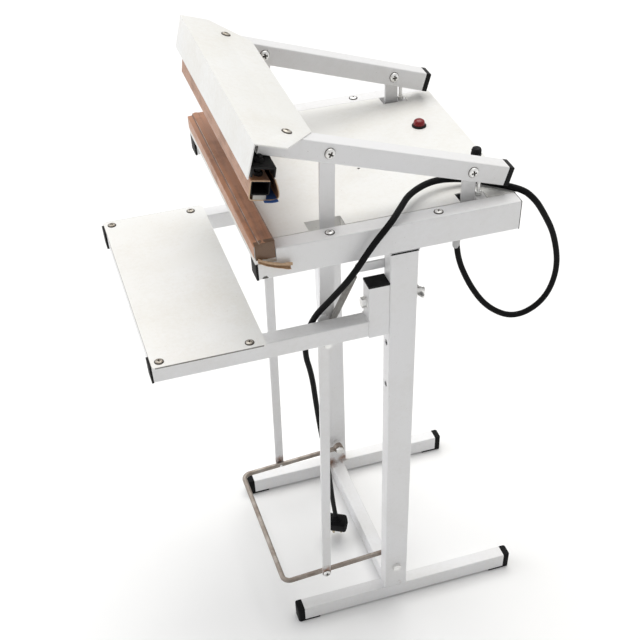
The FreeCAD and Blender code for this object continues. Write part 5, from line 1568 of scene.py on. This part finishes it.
@dataclass
class LowerJaw(Assembly):
    """The cloth over the heated lower jaw, its folded end and its loose tail of tape."""

    half: float = 184.2
    front: float = -135.5
    back: float = -108.5
    top: float = 758.0
    wall: float = 0.3
    from_front: Profile = (
        (-0.35, -19.0), (-0.4, -12.0), (-0.35, -5.0), (-0.3, -3.0), (0.6, -2.7), (3.5, -2.75), (6.0, -2.6),
        (6.8, -1.2), (7.4, 0.25), (9.0, 0.35), (10.3, 0.8), (12.0, 0.95), (13.8, 0.8), (15.2, 0.35),
        (19.0, 0.3), (23.0, 0.3))
    from_back: Profile = (
        (-0.6, 0.3), (0.25, -0.4), (0.3, -4.0), (0.3, -8.0), (0.3, -9.5))
    drop: Profile = (
        (-7.0, 0.75), (-2.0, 0.7), (0.2, 0.2), (0.7, -2.0), (0.8, -8.0), (0.9, -15.0), (1.0, -21.5))
    flap_faces: int = 18
    tail_start: Point = (189.6, -132.5, 737.5)
    tail_run: Point = (1.4, 42.0, -13.0)
    tail_sag: float = 2.5
    tail_bend: float = 3.1
    tail_radius: float = 3.3
    tail_open: float = 0.5
    tail_turn: float = 5.0
    tail_steps: int = 22
    tail_faces: int = 30

    def build(self) -> None:
        """Cover the jaw."""
        section = shifted(self.from_front, self.front, self.top)
        section += shifted(self.from_back, self.back, self.top)
        mesh, long = skin(section, FLOOR, (-self.half, self.half), ripple=0.35, seed=4.0)
        # The lower cloth carries painted shade lines at the step and at the back edge.
        shade_lined_cloth = GlassCloth("creased_glass_cloth", (0.45, 0.2, 0.1), (0.17, 0.07, 0.038),
                             shade_lines=JAW_SHADE_LINES)
        cloth = finished("lower_jaw_glass_cloth", mesh, shade_lined_cloth.make(), "root",
                         ("lower_jaw_cloth",), smooth=60.0)
        self._end_flap()
        self._tail()

    def _end_flap(self) -> None:
        """Fold tape down over the near end of the jaw."""
        form = bmesh.new()
        rows = []
        for out, down in self.drop:
            x, z = self.half + out, self.top + down
            row = []
            for step in range(self.flap_faces + 1):
                y = self.front + 0.8 + (self.back - self.front - 1.2) * step / self.flap_faces
                crease = 0.35 * noise.noise(Vector((x * 0.2, y * 0.3, z * 0.25)))
                low = -1.6 if y < self.front + 7.0 and z > self.top - 1.0 else 0.0
                row.append(form.verts.new(Vector((x + abs(crease), y, z + low + crease * 0.4)) * MM))
            rows.append(row)
        quads(form, rows[::-1])
        mesh = thickened(as_mesh(form, "flap", recalculate=False), self.wall)
        burnt = GlassCloth("scorched_glass_cloth", (0.13, 0.068, 0.034), (0.05, 0.026, 0.014)).make()
        flap = finished("lower_jaw_end_flap", mesh, burnt, "root", (), smooth=60.0)

    def _tail(self) -> None:
        """Let the rolled end of the tape stick out backwards, beside the rail."""
        form = bmesh.new()
        rows = []
        for step in range(self.tail_steps + 1):
            share = step / self.tail_steps
            sag = Vector((0.0, 0.0, -self.tail_sag * math.sin(share * self.tail_bend)))
            middle = Vector(self.tail_start) + Vector(self.tail_run) * share + sag
            row = []
            for turn in range(self.tail_faces + 1):
                round_share = turn / self.tail_faces
                angle = self.tail_open + self.tail_turn * round_share
                wave = noise.noise(Vector((share * 5.0, turn * 0.16, 2.0)))
                radius = self.tail_radius + share + 0.9 * wave - 1.3 * round_share * (1.0 - share)
                out = Vector((math.cos(angle) * 0.85, math.sin(angle) * 0.25, math.sin(angle))) * radius
                row.append(form.verts.new((middle + out) * MM))
            rows.append(row)
        quads(form, rows)
        mesh = thickened(as_mesh(form, "tail", recalculate=False), self.wall)
        tail = finished("tape_tail", mesh, TAN_TAPE.make(), "root", (), smooth=60.0)


@dataclass
class UpperJaw(Assembly):
    """The cloth that hangs round the upper jaw's tube, and the blue tape that joins it below."""

    half: float = 184.0
    front: float = -301.0
    back: float = -277.0
    low: float = -20.6
    top: float = -3.6
    hem: float = 0.75
    short: float = 0.4
    heel: Profile = ((5.0, 19.5), (8.2, 13.0), (10.8, 6.0), (12.0, 0.5), (11.6, -3.0), (9.5, -5.0),
                     (6.0, -5.9), (1.0, -6.3), (-6.0, -6.35))
    toe: Profile = ((6.0, -6.35), (1.4, -6.25), (-0.4, -4.6), (-0.6, -1.0), (-0.6, 6.0))
    face: Profile = ((-0.6, -6.0), (-0.5, -0.4), (0.6, 0.5), (5.0, 0.5))
    roof: Profile = ((-7.0, 0.5), (-1.0, 0.5))
    tape: Profile = ((10.4, -4.2), (6.5, -5.4), (2.0, -5.9), (-3.0, -6.0), (-7.0, -6.0))
    tape_ends: tuple[float, float] = (1.0, 6.5)

    def build(self) -> None:
        """Wrap the tube."""
        front, back, low, top = self.front, self.back, self.low, self.top
        section = shifted(self.heel, back, low) + shifted(self.toe, front, low)
        section += shifted(self.face, front, top) + shifted(self.roof, back, top)
        mesh, long = skin(section, JAW, (-self.half, self.half - self.short), ripple=0.25, seed=9.0)
        cloth = self.piece("upper_jaw_glass_cloth", mesh, Slot.CLOTH, "press_arms", ("upper_jaw_cloth",),
                           smooth=60.0)
        edge = [JAW.at(self.half - self.short / 2.0, y, z) for y, z in reversed(section)]
        hem = swept("hem", edge, self.hem)
        finished("upper_jaw_cloth_hem", hem, TAN_TAPE.make(), "press_arms")
        # Painted shade: the tube and the studs take the black finish, since they lie in shadow under the
        # cover.
        for dark in ("upper_jaw_tube", "jaw_studs"):
            packed(dark).material_slots[0].material = self.paints[Slot.CARRIER]
        near, far = self.tape_ends
        tape = shifted(self.tape, back, low)
        mesh, long = skin(tape, JAW, (-self.half - near, self.half + far), ripple=0.6, seed=2.0)
        strip = self.piece("upper_jaw_blue_tape", mesh, Slot.TAPE, "press_arms", ("upper_jaw_tape",),
                           smooth=60.0)


@dataclass
class TableFittings(Assembly):
    """The pilot lamp and the timer's knob on the table."""

    lamp: tuple[float, float] = (-56.0, 175.5)
    knob: tuple[float, float] = (63.0, 213.5)
    top: float = 748.0
    rim_profile: Profile = (
        (8.6, 0.0), (10.4, 0.0), (10.6, 0.5), (10.5, 1.4), (9.9, 2.1), (9.0, 2.5), (8.6, 2.5), (8.4, 1.6))
    lens_profile: Profile = (
        (0.0, 1.2), (8.3, 1.2), (8.45, 3.0), (8.3, 5.0), (7.9, 6.6), (7.0, 8.0), (5.4, 9.0), (3.2, 9.6),
        (0.0, 9.8))
    knob_profile: Profile = (
        (0.0, 3.0), (7.6, 3.0), (7.9, 3.6), (7.3, 5.0), (6.7, 7.0), (6.4, 15.0), (6.0, 16.4), (5.2, 16.9),
        (4.4, 16.6), (0.0, 16.5))
    ribs: int = 20
    rib: Point = (0.9, 9.0, 0.9)
    rib_out: float = 6.5
    rib_height: float = 10.6
    pointer: Point = (1.0, 5.6, 0.5)
    pointer_at: Point = (0.0, -2.8, 16.8)

    def build(self) -> None:
        """Make the lamp's rim and lens, and the ribbed knob."""
        at = Matrix.Translation(Vector((*self.lamp, self.top)) * MM)
        for name, profile, slot, nodes in (
                ("lamp_rim", self.rim_profile, Slot.PLASTIC, ()),
                ("lamp_lens", self.lens_profile, Slot.LENS, ("pilot_lamp_lens",))):
            form = bmesh.new()
            lathe(form, profile, at, steps=48)
            self.piece(name, form, slot, "root", nodes)
        self._knob()

    def _knob(self) -> None:
        """Turn the knob and stamp its ribs around it."""
        foot = Vector((*self.knob, self.top))
        form = bmesh.new()
        lathe(form, self.knob_profile, Matrix.Translation(foot * MM), steps=48)
        rib = bmesh.new()
        rounded_block(rib, self.rib, Matrix.Identity(4), radius=0.3, steps=2)
        places = []
        for step in range(self.ribs):
            turn = 2.0 * math.pi * step / self.ribs
            way = Vector((math.cos(turn), math.sin(turn), 0.0))
            places.append(((foot + Vector((0.0, 0.0, self.rib_height)) + way * self.rib_out) * MM, way))
        ribs = self.stamper.stamp(as_mesh(rib, "rib"), places, self.paints[Slot.PLASTIC], spin=0.0)
        joined = bmesh.new()
        joined.from_mesh(as_mesh(form, "knob"))
        joined.from_mesh(ribs)
        pointer = Matrix.Translation((foot + Vector(self.pointer_at)) * MM)
        rounded_block(joined, self.pointer, pointer, radius=0.15, steps=2)
        whole = as_mesh(joined, "knob", recalculate=False)
        self.piece("timer_ribbed_knob", whole, Slot.PLASTIC, "timer_dial", ("timer_knob",))


@dataclass
class Caps(Assembly):
    """Moulded and folded pieces whose edges are rounded."""

    edge: float = 1.2
    slight: float = 0.72

    def build(self) -> None:
        """Soften the cover, the caps and the feet."""
        for node, name, slot, body, radius, steps in (
                ("jaw_cover", "jaw_cover_sheet", Slot.SHEET, "press_arms", self.slight, 4),
                ("arm_caps", "arm_end_caps", Slot.PLASTIC, "press_arms", self.edge, 3),
                ("frame_caps", "frame_end_caps", Slot.PLASTIC, "root", self.slight, 3),
                ("rubber_feet", "runner_feet", Slot.RUBBER, "root", self.edge, 3)):
            softened(node, name, self.paints, slot, body, radius, steps)


def prism(form: Form, outline: Profile, low: float, high: float) -> None:
    """Add an upright block to a form.

    Args:
        form: The form that takes the block.
        outline: The block's corners seen from above, in millimetres.
        low: Height of its underside.
        high: Height of its top.
    """
    rings = [[form.verts.new(Vector((x, y, z)) * MM) for x, y in outline] for z in (low, high)]
    form.faces.new(list(reversed(rings[0])))
    form.faces.new(rings[1])
    quads(form, rings, closed=True)


@dataclass
class TubeTrim(Assembly):
    """The rims of the plugs in the rails and uprights, and the folded lips of the table's notches."""

    inner: float = 160.0
    outer: float = 185.0
    rail: tuple[float, float] = (708.0, 748.0)
    rail_end: float = 226.5
    rim: float = 1.2
    upright: tuple[float, float] = (44.5, 84.5)
    proud: float = 0.2
    notch_wide: float = 22.5
    notch: tuple[float, float] = (-57.5, -8.5)
    lip: tuple[float, float] = (733.0, 747.3)
    wall: float = 0.8

    def build(self) -> None:
        """Make both rows of rims and both lips."""
        rims = bmesh.new()
        lips = bmesh.new()
        for _, side in SIDES:
            near, far = side * (self.inner + self.proud), side * (self.outer - self.proud)
            back = self.rail_end + self.rim
            rail = ((near, self.rail_end), (far, self.rail_end), (far, back), (near, back))
            prism(rims, rail, self.rail[0] + self.proud, self.rail[1] - self.proud)
            near, far = side * (self.inner - self.proud), side * (self.outer + self.proud)
            front, back = self.upright[0] - self.proud, self.upright[1] + self.proud
            band = ((near, front), (far, front), (far, back), (near, back))
            prism(rims, band, self.rail[0] - 2.0 * self.rim, self.rail[0] - self.proud / 2.0)
            edge, deep = side * self.inner, side * (self.inner - self.notch_wide)
            past = side * (self.inner - self.notch_wide - self.wall)
            front, back = self.notch
            fold = ((edge, front - self.wall), (past, front - self.wall), (past, back + self.wall),
                    (edge, back + self.wall), (edge, back), (deep, back), (deep, front), (edge, front))
            prism(lips, fold, *self.lip)
        self.piece("tube_plug_rims", rims, Slot.PLASTIC, "root")
        self.piece("table_notch_lips", lips, Slot.SHEET, "root")


@dataclass
class BagShelf(Assembly):
    """The plate that carries the bag, with a thin band of painted shade along its side and front edges,
    where it meets the frame below.
    """

    half: float = 190.0
    front: float = 287.5
    shade_band: float = 0.5

    def build(self) -> None:
        """Give the plate its own finish."""
        # Painted shade along the plate's side and front edges.
        side = (self.half - self.shade_band) * MM
        edges = (("X", 1.0, side), ("X", -1.0, side), ("Y", -1.0, (self.front - self.shade_band) * MM))
        gap_shaded = replace(FINISHES[Slot.SHEET], name="shelf_enamel", edges=edges)
        packed("shelf_plate").material_slots[0].material = gap_shaded.make()


@dataclass
class WingNuts(Assembly):
    """The wing nuts that hold the shelf's clamps."""

    hub: float = 4.2
    rise: float = 4.6
    hub_profile: Profile = (
        (3.4, 0.0), (6.4, 0.0), (6.5, 0.8), (5.6, 4.5), (5.0, 8.4), (4.6, 9.0), (3.4, 9.0))
    wing_steps: int = 8
    wing_faces: int = 16
    tip_share: float = 0.72

    def build(self) -> None:
        """Cast both nuts."""
        for name, _ in SIDES:
            low, high = (Vector(corner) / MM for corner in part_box(name + "_wing_nut"))
            middle = (low + high) / 2.0
            foot = Vector((middle.x, low.y, middle.z))
            form = bmesh.new()
            lathe(form, self.hub_profile, facing(foot * MM, Vector((0.0, 1.0, 0.0))), steps=28)
            for way in (-1.0, 1.0):
                self._wing(form, foot, way * (high.x - low.x) / 2.0)
            self.piece(name + "_cast_wing", form, Slot.ZINC, name + "_wing", (name + "_wing_nut",))

    def _wing(self, form: Form, foot: Vector, reach: float) -> None:
        """Add one wing of a nut.

        Args:
            form: The nut.
            foot: Middle of its seat in millimetres.
            reach: How far the wing goes out along X, negative to the left.
        """
        way = math.copysign(1.0, reach)
        rows = []
        for step in range(self.wing_steps + 1):
            share = step / self.wing_steps
            out = way * (self.hub + (abs(reach) - self.hub) * share)
            half = 2.6 + 2.6 * math.sin(math.pi * min(1.0, share * 0.95 + 0.12))
            if step == self.wing_steps:
                half *= self.tip_share
            thick = 1.7 - 0.5 * share
            row = []
            for turn in range(self.wing_faces):
                angle = 2.0 * math.pi * turn / self.wing_faces
                side = Vector((out, self.rise + half * 0.9 * math.cos(angle), thick * math.sin(angle)))
                row.append(form.verts.new((foot + side) * MM))
            rows.append(row)
        quads(form, rows, closed=True)
        form.faces.new(rows[0])
        form.faces.new(rows[-1])


SUB_ASSEMBLIES: tuple[type[Assembly], ...] = (MainsLead, Screws, Welds, ReturnSprings, LowerJaw, UpperJaw,
                                               TableFittings, Caps, BagShelf, TubeTrim, WingNuts)


def main() -> None:
    """Build every sub-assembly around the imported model."""
    logging.basicConfig(level=logging.INFO, format="%(name)s: %(message)s")
    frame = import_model()
    PACKED.update(frame["nodes"])
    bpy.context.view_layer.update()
    paints = Paints()
    paints.dress(frame["nodes"])
    stamper = Stamper()
    Studio().build()
    for assembly in SUB_ASSEMBLIES:
        assembly(paints, stamper).build()


if __name__ == "__main__":
    main()
